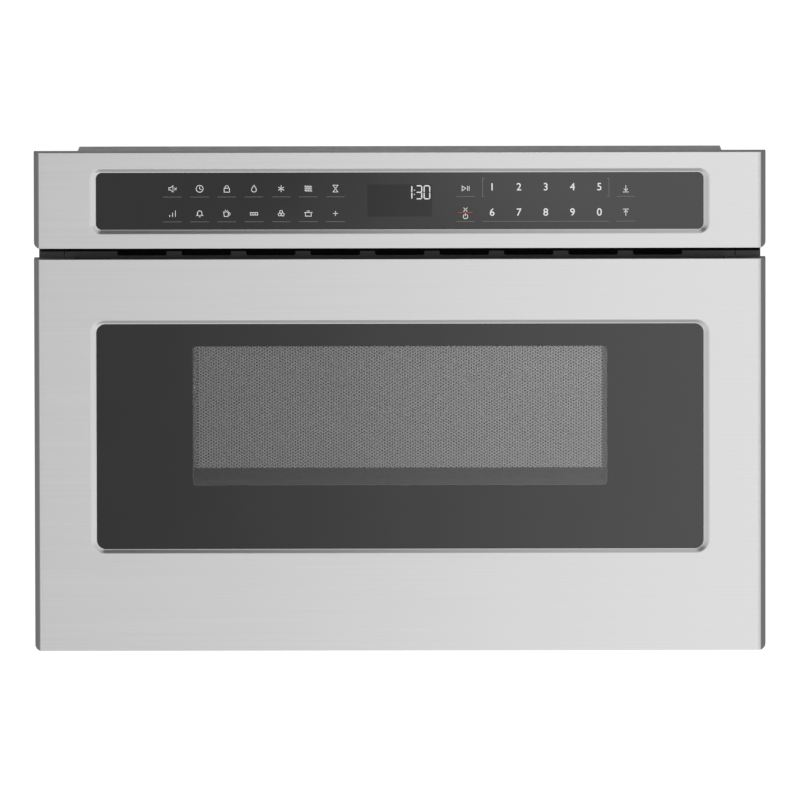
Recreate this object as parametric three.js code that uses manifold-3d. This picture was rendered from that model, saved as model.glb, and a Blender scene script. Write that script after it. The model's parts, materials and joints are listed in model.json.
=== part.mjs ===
// Built-in microwave drawer: a fixed chassis with a control panel, and a motor-driven drawer below it.
// Millimetres, +Z up, the front faces -Y. The origin is the centre of the base plate's underside.
import * as THREE from 'three';
import { mergeVertices } from 'three/addons/utils/BufferGeometryUtils.js';
import Module from 'manifold-3d';

const wasm = await Module();
wasm.setup();

// ---------- Driving dimensions ----------

// Clearances
const seatGap = 0.3; // between pieces that rest on each other
const runGap = 0.5; // between pieces that slide or turn in each other
const sheetGap = 0.3; // between the edges of neighbouring panels
const cutPast = 1; // reach of a cut beyond the faces it goes through
const overlapTrim = 0.01; // a cut starts this far before the one it carries on from
const weldReach = 1e-4; // corners nearer than this are one

// Stainless front: control panel above, drawer front below
const frontOverlap = 25; // reach of the front past each side of the chassis
const frontDepth = 36; // chassis front to front face
const frontSetOff = 2; // the skins' folded sides stop this far before the chassis
const frontDrop = 18; // the drawer front hangs this far below the base plate
const drawerTopMargin = 23; // drawer front above the choke panel
const frontGap = 9.2; // between drawer front and control panel
const panelHeight = 79.2;
const skinSheet = 1;
const sideBevelWidth = 4.5;
const sideBevelDepth = 9;
const skinCornerRadius = 5;
const skinLipDepth = 10; // folded top and bottom edges
const notchWidth = 29; // outer cut-outs in the drawer front's top lip
const notchCentre = 255;
const middleNotchWidth = 96;

// Pressed recesses with the two glasses
const recessDepth = 2.7;
const recessSideSlope = 5;
const recessTopSlope = 3.8;
const glassSideMargin = 51.5; // from the front's side to the visible glass
const glassLap = 6; // hidden edge behind the skin
const drawerGlassHeight = 187;
const drawerGlassTopMargin = 53.6;
const drawerGlassRadius = 7.5;
const drawerGlassSheet = 4;
const controlGlassHeight = 47.3;
const controlGlassBottomMargin = 15.4;
const controlGlassRadius = 5;
const controlGlassSheet = 3;

// Behind the control glass
const displayWidth = 60;
const displayDepth = 8;
const displayHeight = 30;
const boardInset = 30; // from the visible glass's ends
const boardEdge = 4; // from its top and bottom
const housingInset = 2; // from the glass's hidden edge

// Viewing window
const windowWidth = 343.6;
const windowHeight = 115.9;
const windowTopMargin = 18.6;
const windowRadius = 3.3;
const tunnelWall = 1.5;
const tunnelFlange = 12;
const screenSheet = 0.6;
const screenLap = 8;
const innerPaneSheet = 0.8;

// Moulded frame and choke panel of the drawer front
const frameSheet = 2;
const chokeLap = 22; // past the cavity opening on each side
const chokeBottom = 42;
const chokeHeadroom = 8; // above the latches
const chokeDepth = 13;
const chokeSheet = 1.2;

// Chassis box
const railBay = 39.5; // between cavity wall and side cover
const bayHeadroom = 4.5; // above the fan
const coverSheet = 1;
const baseSheet = 1.2;
const lipHeight = 12;
const bulkheadSheet = 1;
const flangeMargin = 4; // the front reaches this far past the mounting flanges
const flangeSheet = 1.2;
const flangeLeg = 36;
const flangeHoleRadius = 2.6;
const flangeHoleInset = 40;

// Air outlet under the control panel
const ventSlots = 9;
const ventEndMargin = 29.6; // from the chassis side to the slots' pattern
const ventPost = 11.8; // between two slots
const ventSlotHeight = 12;
const ventSlotDrop = 1.2; // below the drawer front's top
const ventSlotRadius = 3.5;
const ventSill = 5.8; // plate below the slots
const ventRise = 8.8; // plate above the control panel's bottom edge
const ventPlateInset = 8; // from the chassis side
const ventPlateSheet = 1;

// Cavity and drawer tub
const cavitySheet = 1.2;
const cavityHeight = 190.8;
const rackClearance = 5.35; // between rack and cavity floor
const tubWidth = 440;
const tubDepth = 421;
const tubLift = 4.8; // above the cavity floor
const tubSheet = 1.2;
const tubWallHeight = 120;
const tubRim = 6;
const tubSideClearance = 8.8;
const tubRearClearance = 13;
const plateThickness = 6;
const plateMargin = 8;

// Slides, one pair of three nested channels on each side
const travel = 381;
const railBottom = 20;
const railHeight = 46;
const railOverlap = 59; // of the nested channels, with the drawer fully out
const railSheet = 1.2;
const railDepth = 13;
const railStep = 4.4; // how far each nested channel stands in from the next
const bracketSheet = 1.5;
const bracketLength = 60;
const bracketFlange = 26;

// Rack and pinion drive
const toothModule = 2;
const pinionTeeth = 20;
const pressureAngle = THREE.MathUtils.degToRad(20);
const toothThinning = 0.3; // play of the teeth, along the pitch line
const meshClearance = 0.15;
const rackWidth = 14;
const rackBack = 8; // solid bar above the tooth roots
const pinionWidth = 12;
const pinionLift = 6.8; // teeth above the base plate
const pinionSetBack = 11; // teeth behind the bulkhead
const driveShaftRadius = 4;
const driveMotorRadius = 22;
const driveMotorLength = 58;
const driveMotorFootShare = 0.8; // of the motor's radius

// Microwave feed and cooling
const waveguideWidth = 140;
const waveguideHeight = 40;
const waveguideOverhang = 24; // past the cavity's back wall
const guideSheet = 1.2;
const stirrerRadius = 54;
const stirrerBlades = 4;
const stirrerShaftRadius = 3;
const stirrerMotorRadius = 24;
const stirrerMotorHeight = 18;
const stirrerDrop = 14; // blades above the waveguide's floor
const stirrerHubHeight = 6;
const stirrerBladeSheet = 1;
const stirrerBladeTilt = THREE.MathUtils.degToRad(10);
const stirrerBladeLengthShare = 0.9; // shares of the stirrer's radius
const stirrerBladeWidthShare = 0.4;
const shaftGrip = 6; // of a motor on its shaft
const ceilingHoleRadius = 60;
const stirrerCoverWidth = 150;
const stirrerCoverSheet = 1;
const magnetronWidth = 84;
const magnetronDepth = 90;
const magnetronHeadroom = 4; // below the fan housing's top
const magnetronFins = 7;
const magnetronFinSheet = 1;
const magnetronFinShare = 0.8; // of the magnetron's width
const magnetronSheet = 2;
const antennaRadius = 8;
const antennaClearance = 2;
const fanGuideGap = 18; // between fan housing and waveguide
const fanY = 40;
const fanSize = 104;
const fanDepth = 30;
const fanTipGap = 3;
const fanWindow = 41.6; // half size of the opening behind the wheel
const fanBarSheet = 3;
const fanRim = 7; // from the wheel's tips to the housing's outside
const fanBlades = 7;
const fanBladeSheet = 1.6;
const fanBladeTilt = THREE.MathUtils.degToRad(36);
const fanBladeLengthShare = 0.7; // shares of the wheel's radius
const fanBladeWidthShare = 0.45;
const fanBladeCentreShare = 0.62;
const fanShaftRadius = 3;
const fanMotorRadius = 20;
const fanBarShare = 0.7; // of the motor's radius, for the bar that carries it
const fanMotorLength = 34;

// Pieces in the rear bay
const transformerInset = 71.7; // from the side cover
const transformerWidth = 110;
const transformerDepth = 84;
const transformerHeight = 96;
const windingReach = 12;
const windingShare = 0.55; // of the transformer's width
const capacitorX = -20;
const capacitorWidth = 64;
const capacitorDepth = 38;
const capacitorHeight = 90;
const capacitorFlat = 0.2; // of its narrow sides, between the round corners
const terminalWidth = 6;
const terminalSheet = 1;
const terminalHeight = 10;
const terminalSunk = 1;
const rearBayMargin = 15.9; // before and behind the transformer
const boardSheet = 1.6;
const boardSideInset = 61.7;
const boardWidth = 120;
const boardDepth = 96;
const standoffHeight = 6;
const standoffRadius = 3;
const relayWidth = 28;
const relayDepth = 14;
const relayHeight = 18;
const relayPitch = 24;
const relays = 3;
const chokeCoilWidth = 44;
const chokeCoilDepth = 38;
const chokeCoilHeight = 26;
const lampInset = 68; // from the cavity's back wall
const lampHeight = 228;
const lampRadius = 12;
const lampLength = 26;
const lampBulbRadius = 7.2;
const lampBaseLength = 15.6;
const rearSlots = 8;
const rearSlotPitch = 16;
const rearSlotWidth = 6;
const rearSlotHeight = 60;
const rearSlotInset = 40; // below the back panel's top
const glandInset = 76.7; // from the side cover
const glandZ = 70;
const glandRadius = 9;
const glandBore = 5;
const glandHead = 13;
const glandProtrusion = 5;
const glandNut = 4;

// Latches
const latchInset = 21; // from the cavity's side
const latchRise = 13; // above the cavity ceiling's face
const latchReach = 20;
const latchSheet = 3;
const latchHeight = 10;
const latchBarb = 4;
const switchWidth = 30;
const switchDepth = 44;
const switchHeight = 30;

// ---------- Planes and levels that follow from them ----------

const cavityReach = seatGap - runGap + tubDepth + tubSheet + tubRearClearance + cavitySheet;
const rearBayDepth = transformerDepth + 2 * rearBayMargin + coverSheet;
const bodyDepth = cavityReach + rearBayDepth;
const bodyFront = -bodyDepth / 2;
const bodyBack = bodyDepth / 2;
const frontFace = bodyFront - frontDepth;
const skinBack = bodyFront - frontSetOff;
const bulkheadBack = bodyFront + bulkheadSheet;

const pitchRadius = toothModule * pinionTeeth / 2;
const tipRadius = pitchRadius + toothModule;
const rootDrop = 1.25 * toothModule; // of a tooth, below the pitch line
const pinionHeight = baseSheet + pinionLift + tipRadius;
const pinionY = bulkheadBack + pinionSetBack + tipRadius;
const rackPitchLine = pinionHeight + pitchRadius + meshClearance;
const rackRoot = rackPitchLine + rootDrop;
const rackTop = rackRoot + rackBack;
const rackRear = pinionY + travel + 2 * toothModule;

const tubSide = tubWidth / 2;
const cavitySide = tubSide + tubSheet + tubRim + tubSideClearance;
const cavityFloorTop = rackTop + rackClearance + cavitySheet;
const cavityCeiling = cavityFloorTop + cavityHeight;
const cavityTop = cavityCeiling + cavitySheet;
const guideBottom = cavityTop + seatGap;
const guideTop = guideBottom + waveguideHeight;

const innerSide = cavitySide + cavitySheet + railBay;
const bodySide = innerSide + sheetGap + coverSheet;
const bodyWidth = 2 * bodySide;
const bodyHeight = guideBottom + fanSize + bayHeadroom;
const innerTop = bodyHeight - coverSheet - sheetGap;
const frontWidth = bodyWidth + 2 * frontOverlap;
const glassWidth = frontWidth - 2 * glassSideMargin;
const flangeReach = frontOverlap - flangeMargin;

const latchZ = cavityCeiling + latchRise;
const chokeTop = latchZ + latchHeight / 2 + chokeHeadroom;
const chokeHalf = cavitySide + chokeLap;
const drawerBottom = -frontDrop;
const drawerTop = chokeTop + drawerTopMargin;
const panelBottom = drawerTop + frontGap;
const panelTop = panelBottom + panelHeight;
const ventPitch = (bodyWidth - 2 * ventEndMargin) / ventSlots;
const ventSlotTop = drawerTop - ventSlotDrop;

const glassFront = frontFace + recessDepth + skinSheet + seatGap;
const drawerGlassBack = glassFront + drawerGlassSheet;
const controlGlassBack = glassFront + controlGlassSheet;
const drawerGlassCentre = drawerTop - drawerGlassTopMargin - drawerGlassHeight / 2;
const controlGlassCentre = panelBottom + controlGlassBottomMargin + controlGlassHeight / 2;
const windowTop = drawerGlassCentre + drawerGlassHeight / 2 - windowTopMargin;
const windowCentre = windowTop - windowHeight / 2;

const chokeBack = bodyFront - runGap;
const chokePlateFront = chokeBack - chokeSheet;
const chokeFront = chokeBack - chokeDepth;
const screenBack = chokePlateFront - seatGap;
const screenFront = screenBack - screenSheet;

const tubBottom = cavityFloorTop + tubLift;
const tubFront = chokeBack + seatGap;
const tubBack = tubFront + tubDepth;
const tubTop = tubBottom + tubSheet + tubWallHeight;
const cavityFront = bulkheadBack + sheetGap;
const cavityBack = tubBack + tubSheet + tubRearClearance;
const cavityRear = cavityBack + cavitySheet;

const railTop = railBottom + railHeight;
const railMiddle = (railBottom + railTop) / 2;
const railFront = bulkheadBack + sheetGap;
const railLength = travel + railOverlap;
const railWeb = innerSide - railSheet;
const bracketOuter = railWeb - 2 * railStep - seatGap;

const stirrerY = (tubFront + tubBack) / 2;
const waveguideFront = stirrerY - waveguideWidth / 2;
const waveguideBack = cavityRear + waveguideOverhang;
const magnetronY = waveguideBack - magnetronDepth / 2 - guideSheet;
const magnetronHeight = fanSize - waveguideHeight - magnetronHeadroom;
const fanCentreZ = guideBottom + fanSize / 2;
const fanWheelRadius = fanSize / 2 - fanRim;
const fanX = -(waveguideWidth + fanSize) / 2 - fanGuideGap;
const transformerX = innerSide - transformerInset - transformerWidth / 2;
const boardX = innerSide - boardSideInset - boardWidth / 2;
const glandX = glandInset - innerSide;
const latchX = cavitySide - latchInset;
const rearBayY = bodyBack - coverSheet - rearBayMargin;

// ---------- Materials ----------

function finish(colour, roughness, metalness, opacity = 1) {
  const settings = { color: new THREE.Color(...colour), roughness, metalness };
  if (opacity < 1) {
    settings.transparent = true;
    settings.opacity = opacity;
  }
  return new THREE.MeshStandardMaterial(settings);
}

const stainless = finish([0.6, 0.6, 0.6], 0.35, 1);
const blackGlass = finish([0.03, 0.03, 0.03], 0.08, 0);
const clearGlass = finish([0.5, 0.52, 0.52], 0.05, 0, 0.35);
const galvanised = finish([0.5, 0.51, 0.52], 0.45, 1);
const blackSteel = finish([0.03, 0.03, 0.03], 0.5, 0.3);
const cavityPaint = finish([0.42, 0.43, 0.44], 0.4, 0.2);
const darkPlastic = finish([0.04, 0.04, 0.045], 0.5, 0);
const palePlastic = finish([0.75, 0.75, 0.72], 0.55, 0);
const boardGreen = finish([0.06, 0.22, 0.1], 0.5, 0);
const railSteel = finish([0.55, 0.55, 0.56], 0.3, 1);
const copper = finish([0.55, 0.28, 0.12], 0.4, 0.8);
const coreSteel = finish([0.2, 0.2, 0.21], 0.6, 0.6);
const ceramic = finish([0.82, 0.82, 0.8], 0.25, 0);
const mica = finish([0.6, 0.55, 0.45], 0.5, 0);

// ---------- Geometry helpers ----------

// A box from its lowest to its highest corner.
function block(x0, x1, y0, y1, z0, z1) {
  const geometry = new THREE.BoxGeometry(x1 - x0, y1 - y0, z1 - z0);
  return geometry.translate((x0 + x1) / 2, (y0 + y1) / 2, (z0 + z1) / 2);
}

// A box centred on a point.
function blockAt(x, y, z, width, depth, height) {
  return new THREE.BoxGeometry(width, depth, height).translate(x, y, z);
}

function shapeOf(points) {
  return new THREE.Shape(points.map(([u, v]) => new THREE.Vector2(u, v)));
}

// Outline in the XY plane, raised from z0 to z1.
function raise(shape, z0, z1, curveSegments = 6) {
  const settings = { depth: z1 - z0, bevelEnabled: false, curveSegments };
  return new THREE.ExtrudeGeometry(shape, settings).translate(0, 0, z0);
}

// Outline in the XZ plane, drawn as seen from the front, run back from y0 to y1.
function runBack(shape, y0, y1, curveSegments = 6) {
  return raise(shape, 0, y1 - y0, curveSegments).rotateX(Math.PI / 2).translate(0, y1, 0);
}

// Outline in the YZ plane, run across from x0 to x1.
function runAcross(shape, x0, x1, curveSegments = 6) {
  const turn = new THREE.Matrix4().makeBasis(
    new THREE.Vector3(0, 1, 0),
    new THREE.Vector3(0, 0, 1),
    new THREE.Vector3(1, 0, 0),
  );
  return raise(shape, 0, x1 - x0, curveSegments).applyMatrix4(turn).translate(x0, 0, 0);
}

// A round bar along an axis, from one end to the other.
function bar(axis, radius, from, to, a, b, segments = 24) {
  const geometry = new THREE.CylinderGeometry(radius, radius, to - from, segments);
  const middle = (from + to) / 2;
  if (axis === 'x') return geometry.rotateZ(Math.PI / 2).translate(middle, a, b);
  if (axis === 'y') return geometry.translate(a, middle, b);
  return geometry.rotateX(Math.PI / 2).translate(a, b, middle);
}

// Points of a rectangle with round corners, as seen from the front.
function roundedPoints(width, height, radius, centreX, centreZ, steps = 5) {
  const points = [];
  const corners = [[1, -1], [1, 1], [-1, 1], [-1, -1]];
  corners.forEach(([sideX, sideZ], index) => {
    for (let step = 0; step <= steps; step += 1) {
      const angle = (index - 1 + step / steps) * Math.PI / 2;
      points.push([
        centreX + sideX * (width / 2 - radius) + radius * Math.cos(angle),
        centreZ + sideZ * (height / 2 - radius) + radius * Math.sin(angle),
      ]);
    }
  });
  return points;
}

function roundedShape(width, height, radius, centreX, centreZ) {
  return shapeOf(roundedPoints(width, height, radius, centreX, centreZ));
}

// A solid between two outlines of equally many points, the first in front of the second.
function loft(frontPoints, frontY, backPoints, backY) {
  const count = frontPoints.length;
  const positions = [];
  frontPoints.forEach(([x, z]) => positions.push(x, frontY, z));
  backPoints.forEach(([x, z]) => positions.push(x, backY, z));
  const index = [];
  for (let i = 0; i < count; i += 1) {
    const next = (i + 1) % count;
    index.push(i, next, count + next, i, count + next, count + i);
  }
  for (let i = 1; i < count - 1; i += 1) {
    index.push(0, i + 1, i);
    index.push(count, count + i, count + i + 1);
  }
  const geometry = new THREE.BufferGeometry();
  geometry.setAttribute('position', new THREE.Float32BufferAttribute(positions, 3));
  geometry.setIndex(index.map((vertex, place) => index[place - (place % 3) + [0, 2, 1][place % 3]]));
  return geometry;
}

// ---------- Joining and cutting ----------

function solid(geometry) {
  const bare = geometry.clone();
  bare.deleteAttribute('normal');
  bare.deleteAttribute('uv');
  const merged = mergeVertices(bare, weldReach);
  const vertProperties = new Float32Array(merged.attributes.position.array);
  const triVerts = new Uint32Array(merged.index.array);
  return new wasm.Manifold(new wasm.Mesh({ numProp: 3, vertProperties, triVerts }));
}

function join(...geometries) {
  return geometries.map(solid).reduce((whole, piece) => whole.add(piece));
}

function geometryOf(manifold) {
  const mesh = manifold.getMesh();
  const geometry = new THREE.BufferGeometry();
  geometry.setAttribute('position', new THREE.BufferAttribute(mesh.vertProperties, 3));
  geometry.setIndex(new THREE.BufferAttribute(mesh.triVerts, 1));
  geometry.computeVertexNormals();
  return geometry;
}

// The first solid joined with the others of its list, less every solid of the second list.
function carve(kept, removed = []) {
  const whole = join(...kept);
  return geometryOf(removed.map(solid).reduce((rest, piece) => rest.subtract(piece), whole));
}

const drawerUnit = new THREE.Group();

function add(name, geometry, material) {
  const mesh = new THREE.Mesh(geometry, material);
  mesh.name = name;
  drawerUnit.add(mesh);
}

// A piece for each side: side is -1 at the left and +1 at the right.
function addPair(name, make, material) {
  add(`left_${name}`, make(-1), material);
  add(`right_${name}`, make(1), material);
}

// A box given for the right side, or mirrored to the left one.
function sideBlock(side, x0, x1, y0, y1, z0, z1) {
  return side > 0 ? block(x0, x1, y0, y1, z0, z1) : block(-x1, -x0, y0, y1, z0, z1);
}

function sideShape(side, points) {
  return shapeOf(points.map(([x, other]) => [side * x, other]));
}

// ---------- Stainless skins ----------

// Cross-section of a skin from above, set in by a sheet's thickness for its inside.
function skinPlan(inset, back) {
  const lean = Math.atan2(sideBevelWidth, sideBevelDepth);
  const side = frontWidth / 2 - inset;
  const bevelBack = frontFace + sideBevelDepth + inset * Math.tan(lean / 2);
  const bevelFront = frontWidth / 2 - sideBevelWidth - inset * Math.tan((Math.PI / 2 - lean) / 2);
  const face = frontFace + inset;
  return shapeOf([
    [-side, back],
    [-side, bevelBack],
    [-bevelFront, face],
    [bevelFront, face],
    [side, bevelBack],
    [side, back],
  ]);
}

// Outline of a skin from the front: square at the top, round at the bottom corners.
function skinOutline(bottom, top, inset) {
  const side = frontWidth / 2 - inset;
  const radius = skinCornerRadius - inset;
  const low = bottom + inset;
  const outline = new THREE.Shape();
  outline.moveTo(-side, top - inset);
  outline.lineTo(-side, low + radius);
  outline.absarc(-side + radius, low + radius, radius, Math.PI, 1.5 * Math.PI, false);
  outline.lineTo(side - radius, low);
  outline.absarc(side - radius, low + radius, radius, 1.5 * Math.PI, 2 * Math.PI, false);
  outline.lineTo(side, top - inset);
  return outline;
}

function skinBody(bottom, top, inset, back) {
  const plan = raise(skinPlan(inset, back), bottom + inset, top - inset);
  const outline = runBack(skinOutline(bottom, top, inset), frontFace - cutPast, back + cutPast);
  return solid(plan).intersect(solid(outline));
}

// A folded sheet with a pressed recess round its glass opening. cuts lists what else is removed.
function frontSkin(bottom, top, glassHeight, glassCentre, radius, cuts) {
  const slopeWidth = glassWidth + 2 * recessSideSlope;
  const slopeHeight = glassHeight + 2 * recessTopSlope;
  const outerRadius = radius + recessTopSlope;
  const mouth = roundedPoints(slopeWidth, slopeHeight, outerRadius, 0, glassCentre);
  const seat = roundedPoints(glassWidth, glassHeight, radius, 0, glassCentre);
  const rimShape = roundedShape(
    slopeWidth + 2 * skinSheet,
    slopeHeight + 2 * skinSheet,
    outerRadius + skinSheet,
    0,
    glassCentre,
  );
  const recessBack = frontFace + recessDepth;
  const rim = runBack(rimShape, frontFace + skinSheet / 2, recessBack + skinSheet);
  const inside = skinBody(bottom, top, skinSheet, skinBack + cutPast);
  let skin = skinBody(bottom, top, 0, skinBack).subtract(inside).add(solid(rim));
  skin = skin.subtract(solid(loft(mouth, frontFace, seat, recessBack)));
  skin = skin.subtract(solid(runBack(shapeOf(mouth), frontFace - cutPast, frontFace)));
  skin = skin.subtract(solid(runBack(shapeOf(seat), recessBack - overlapTrim, skinBack)));
  return geometryOf(cuts.map(solid).reduce((rest, piece) => rest.subtract(piece), skin));
}

// What shortens a skin's top or bottom fold to a narrow lip.
function lipCut(level) {
  const side = frontWidth / 2 - skinSheet;
  const rise = 2 * skinSheet;
  const start = frontFace + skinLipDepth;
  return block(-side, side, start, skinBack + cutPast, level - rise, level + rise);
}

function lipNotch(centre, width) {
  const start = frontFace + 2 * skinSheet;
  const rise = 3 * skinSheet;
  const half = width / 2;
  return block(centre - half, centre + half, start, skinBack + cutPast, drawerTop - rise, drawerTop + rise);
}

function glassPlate(height, centre, radius, sheet) {
  const lap = 2 * glassLap;
  const outline = roundedShape(glassWidth + lap, height + lap, radius + glassLap, 0, centre);
  return runBack(outline, glassFront, glassFront + sheet);
}

// ---------- Drawer front ----------

function buildDrawerFront() {
  const cuts = [
    lipCut(drawerTop),
    lipCut(drawerBottom),
    lipNotch(-notchCentre, notchWidth),
    lipNotch(0, middleNotchWidth),
    lipNotch(notchCentre, notchWidth),
  ];
  const skin = frontSkin(
    drawerBottom,
    drawerTop,
    drawerGlassHeight,
    drawerGlassCentre,
    drawerGlassRadius,
    cuts,
  );
  add('drawer_front_skin', skin, stainless);
  const glass = glassPlate(drawerGlassHeight, drawerGlassCentre, drawerGlassRadius, drawerGlassSheet);
  add('drawer_glass', glass, blackGlass);
}

function buildWindow() {
  const opening = roundedShape(windowWidth, windowHeight, windowRadius, 0, windowCentre);
  const wallShape = roundedShape(
    windowWidth + 2 * tunnelWall,
    windowHeight + 2 * tunnelWall,
    windowRadius + tunnelWall,
    0,
    windowCentre,
  );
  const flangeShape = roundedShape(
    windowWidth + 2 * tunnelFlange,
    windowHeight + 2 * tunnelFlange,
    windowRadius + tunnelFlange,
    0,
    windowCentre,
  );
  const front = drawerGlassBack + seatGap;
  const back = screenFront - seatGap;
  const tunnel = carve(
    [runBack(wallShape, front, back), runBack(flangeShape, front, front + tunnelWall)],
    [runBack(opening, front - cutPast, back + cutPast)],
  );
  add('window_tunnel', tunnel, blackSteel);

  const screenShape = roundedShape(
    windowWidth + 2 * screenLap,
    windowHeight + 2 * screenLap,
    windowRadius,
    0,
    windowCentre,
  );
  add('perforated_screen', runBack(screenShape, screenFront, screenBack), blackSteel);

  const paneShape = roundedShape(
    windowWidth - 2 * seatGap,
    windowHeight - 2 * seatGap,
    windowRadius,
    0,
    windowCentre,
  );
  const paneFront = screenBack + seatGap;
  add('inner_pane', runBack(paneShape, paneFront, paneFront + innerPaneSheet), clearGlass);

  const rim = chokeHalf - chokeSheet;
  const choke = carve(
    [block(-chokeHalf, chokeHalf, chokeFront, chokeBack, chokeBottom, chokeTop)],
    [
      block(
        -rim,
        rim,
        chokeFront - cutPast,
        chokePlateFront,
        chokeBottom + chokeSheet,
        chokeTop - chokeSheet,
      ),
      runBack(opening, chokeFront, chokeBack + cutPast),
    ],
  );
  add('choke_panel', choke, cavityPaint);
}

function buildDrawerFrame() {
  const front = drawerGlassBack + seatGap;
  const back = front + frameSheet;
  const side = frontWidth / 2 - skinSheet - runGap;
  const low = drawerBottom + skinCornerRadius;
  const high = drawerTop - skinSheet - runGap;
  const ringBack = chokeFront - seatGap;
  const ringOuter = block(-chokeHalf, chokeHalf, front, ringBack, chokeBottom, chokeTop);
  const ringInner = block(
    frameSheet - chokeHalf,
    chokeHalf - frameSheet,
    back,
    chokeFront,
    chokeBottom + frameSheet,
    chokeTop - frameSheet,
  );
  const reach = 2 * (tunnelFlange + seatGap);
  const opening = roundedShape(
    windowWidth + reach,
    windowHeight + reach,
    windowRadius + tunnelFlange + seatGap,
    0,
    windowCentre,
  );
  const frame = carve(
    [block(-side, side, front, back, low, high), ringOuter],
    [ringInner, runBack(opening, front - cutPast, back + cutPast)],
  );
  add('drawer_front_frame', frame, darkPlastic);
}

// ---------- Drawer tub ----------

function buildTub() {
  const floorTop = tubBottom + tubSheet;
  const wallBottom = floorTop + sheetGap;
  const inside = tubSide - sheetGap;
  const outside = tubSide + tubSheet;
  add('tub_floor', block(-inside, inside, tubFront, tubBack, tubBottom, floorTop), cavityPaint);
  addPair('tub_wall', (side) => {
    const section = sideShape(side, [
      [tubSide, tubBottom],
      [outside, tubBottom],
      [outside, tubTop - tubSheet],
      [outside + tubRim, tubTop - tubSheet],
      [outside + tubRim, tubTop],
      [tubSide, tubTop],
    ]);
    return runBack(section, tubFront, tubBack + tubSheet);
  }, cavityPaint);
  const backWall = carve([
    block(-inside, inside, tubBack, tubBack + tubSheet, wallBottom, tubTop),
    block(-inside, inside, tubBack, tubBack + tubSheet + tubRim, tubTop - tubSheet, tubTop),
  ]);
  add('tub_back_wall', backWall, cavityPaint);

  const plateShape = shapeOf(roundedPoints(
    tubWidth - 2 * plateMargin,
    tubDepth - 2 * plateMargin,
    plateMargin,
    0,
    (tubFront + tubBack) / 2,
  ));
  const plateBottom = floorTop + seatGap;
  add('ceramic_plate', raise(plateShape, plateBottom, plateBottom + plateThickness), ceramic);
}

// ---------- Slides ----------

// A channel that opens towards the middle of the appliance.
function channel(side, web, bottom, top) {
  const inner = web - railDepth;
  const section = sideShape(side, [
    [web + railSheet, bottom],
    [web + railSheet, top],
    [inner, top],
    [inner, top - railSheet],
    [web, top - railSheet],
    [web, bottom + railSheet],
    [inner, bottom + railSheet],
    [inner, bottom],
  ]);
  return runBack(section, railFront, railFront + railLength);
}

function buildSlides() {
  const step = railSheet + runGap;
  addPair('outer_rail', (side) => channel(side, railWeb, railBottom, railTop), railSteel);
  addPair('middle_rail', (side) => (
    channel(side, railWeb - railStep, railBottom + step, railTop - step)
  ), railSteel);
  addPair('inner_rail', (side) => (
    channel(side, railWeb - 2 * railStep, railBottom + 2 * step, railTop - 2 * step)
  ), railSteel);

  const plate = drawerGlassBack + seatGap + frameSheet + seatGap;
  const clearInside = railHeight / 2 - 3 * railSheet - 2 * runGap - runGap;
  addPair('rail_bracket', (side) => {
    const inner = bracketOuter - bracketSheet;
    const plan = sideShape(side, [
      [inner, railFront + bracketLength],
      [inner, plate],
      [inner + bracketFlange, plate],
      [inner + bracketFlange, plate + bracketSheet],
      [bracketOuter, plate + bracketSheet],
      [bracketOuter, railFront + bracketLength],
    ]);
    return raise(plan, railMiddle - clearInside, railMiddle + clearInside);
  }, galvanised);
}

// ---------- Rack and pinion ----------

// A rack tooth is a trapezoid. Its half width shrinks from the root line to the tip.
function buildRack() {
  const pitch = Math.PI * toothModule;
  const slope = Math.tan(pressureAngle);
  const halfAtPitch = pitch / 4 - toothThinning / 2;
  const tipHalf = halfAtPitch - toothModule * slope;
  const rootHalf = halfAtPitch + rootDrop * slope;
  const tip = rackPitchLine - toothModule;
  const points = [[tubFront, rackTop], [tubFront, rackRoot]];
  const first = Math.ceil((tubFront + rootHalf - pinionY) / pitch + 0.5);
  const last = Math.floor((rackRear - rootHalf - pinionY) / pitch);
  for (let tooth = first; tooth <= last; tooth += 1) {
    const centre = pinionY + tooth * pitch;
    points.push([centre - rootHalf, rackRoot]);
    points.push([centre - tipHalf, tip]);
    points.push([centre + tipHalf, tip]);
    points.push([centre + rootHalf, rackRoot]);
  }
  points.push([rackRear, rackRoot], [rackRear, rackTop]);
  add('drive_rack', runAcross(shapeOf(points), -rackWidth / 2, rackWidth / 2), palePlastic);
}

// Involute teeth, with a tooth gap straight above the axle where the rack's tooth stands.
function pinionShape() {
  const baseRadius = pitchRadius * Math.cos(pressureAngle);
  const rootRadius = pitchRadius - rootDrop;
  const flankSteps = 4;
  const involute = (radius) => {
    const angle = Math.acos(Math.min(1, baseRadius / radius));
    return Math.tan(angle) - angle;
  };
  const halfAtPitch = Math.PI / (2 * pinionTeeth) - toothThinning / (2 * pitchRadius);
  const halfAt = (radius) => halfAtPitch + involute(pitchRadius) - involute(radius);
  const points = [];
  const put = (radius, angle) => {
    points.push([pinionY + radius * Math.cos(angle), pinionHeight + radius * Math.sin(angle)]);
  };
  for (let tooth = 0; tooth < pinionTeeth; tooth += 1) {
    const middle = Math.PI / 2 + (tooth + 0.5) * 2 * Math.PI / pinionTeeth;
    put(rootRadius, middle - halfAt(baseRadius));
    for (let step = 0; step <= flankSteps; step += 1) {
      const radius = baseRadius + (tipRadius - baseRadius) * step / flankSteps;
      put(radius, middle - halfAt(radius));
    }
    for (let step = flankSteps; step >= 0; step -= 1) {
      const radius = baseRadius + (tipRadius - baseRadius) * step / flankSteps;
      put(radius, middle + halfAt(radius));
    }
    put(rootRadius, middle + halfAt(baseRadius));
  }
  return shapeOf(points);
}

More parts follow.
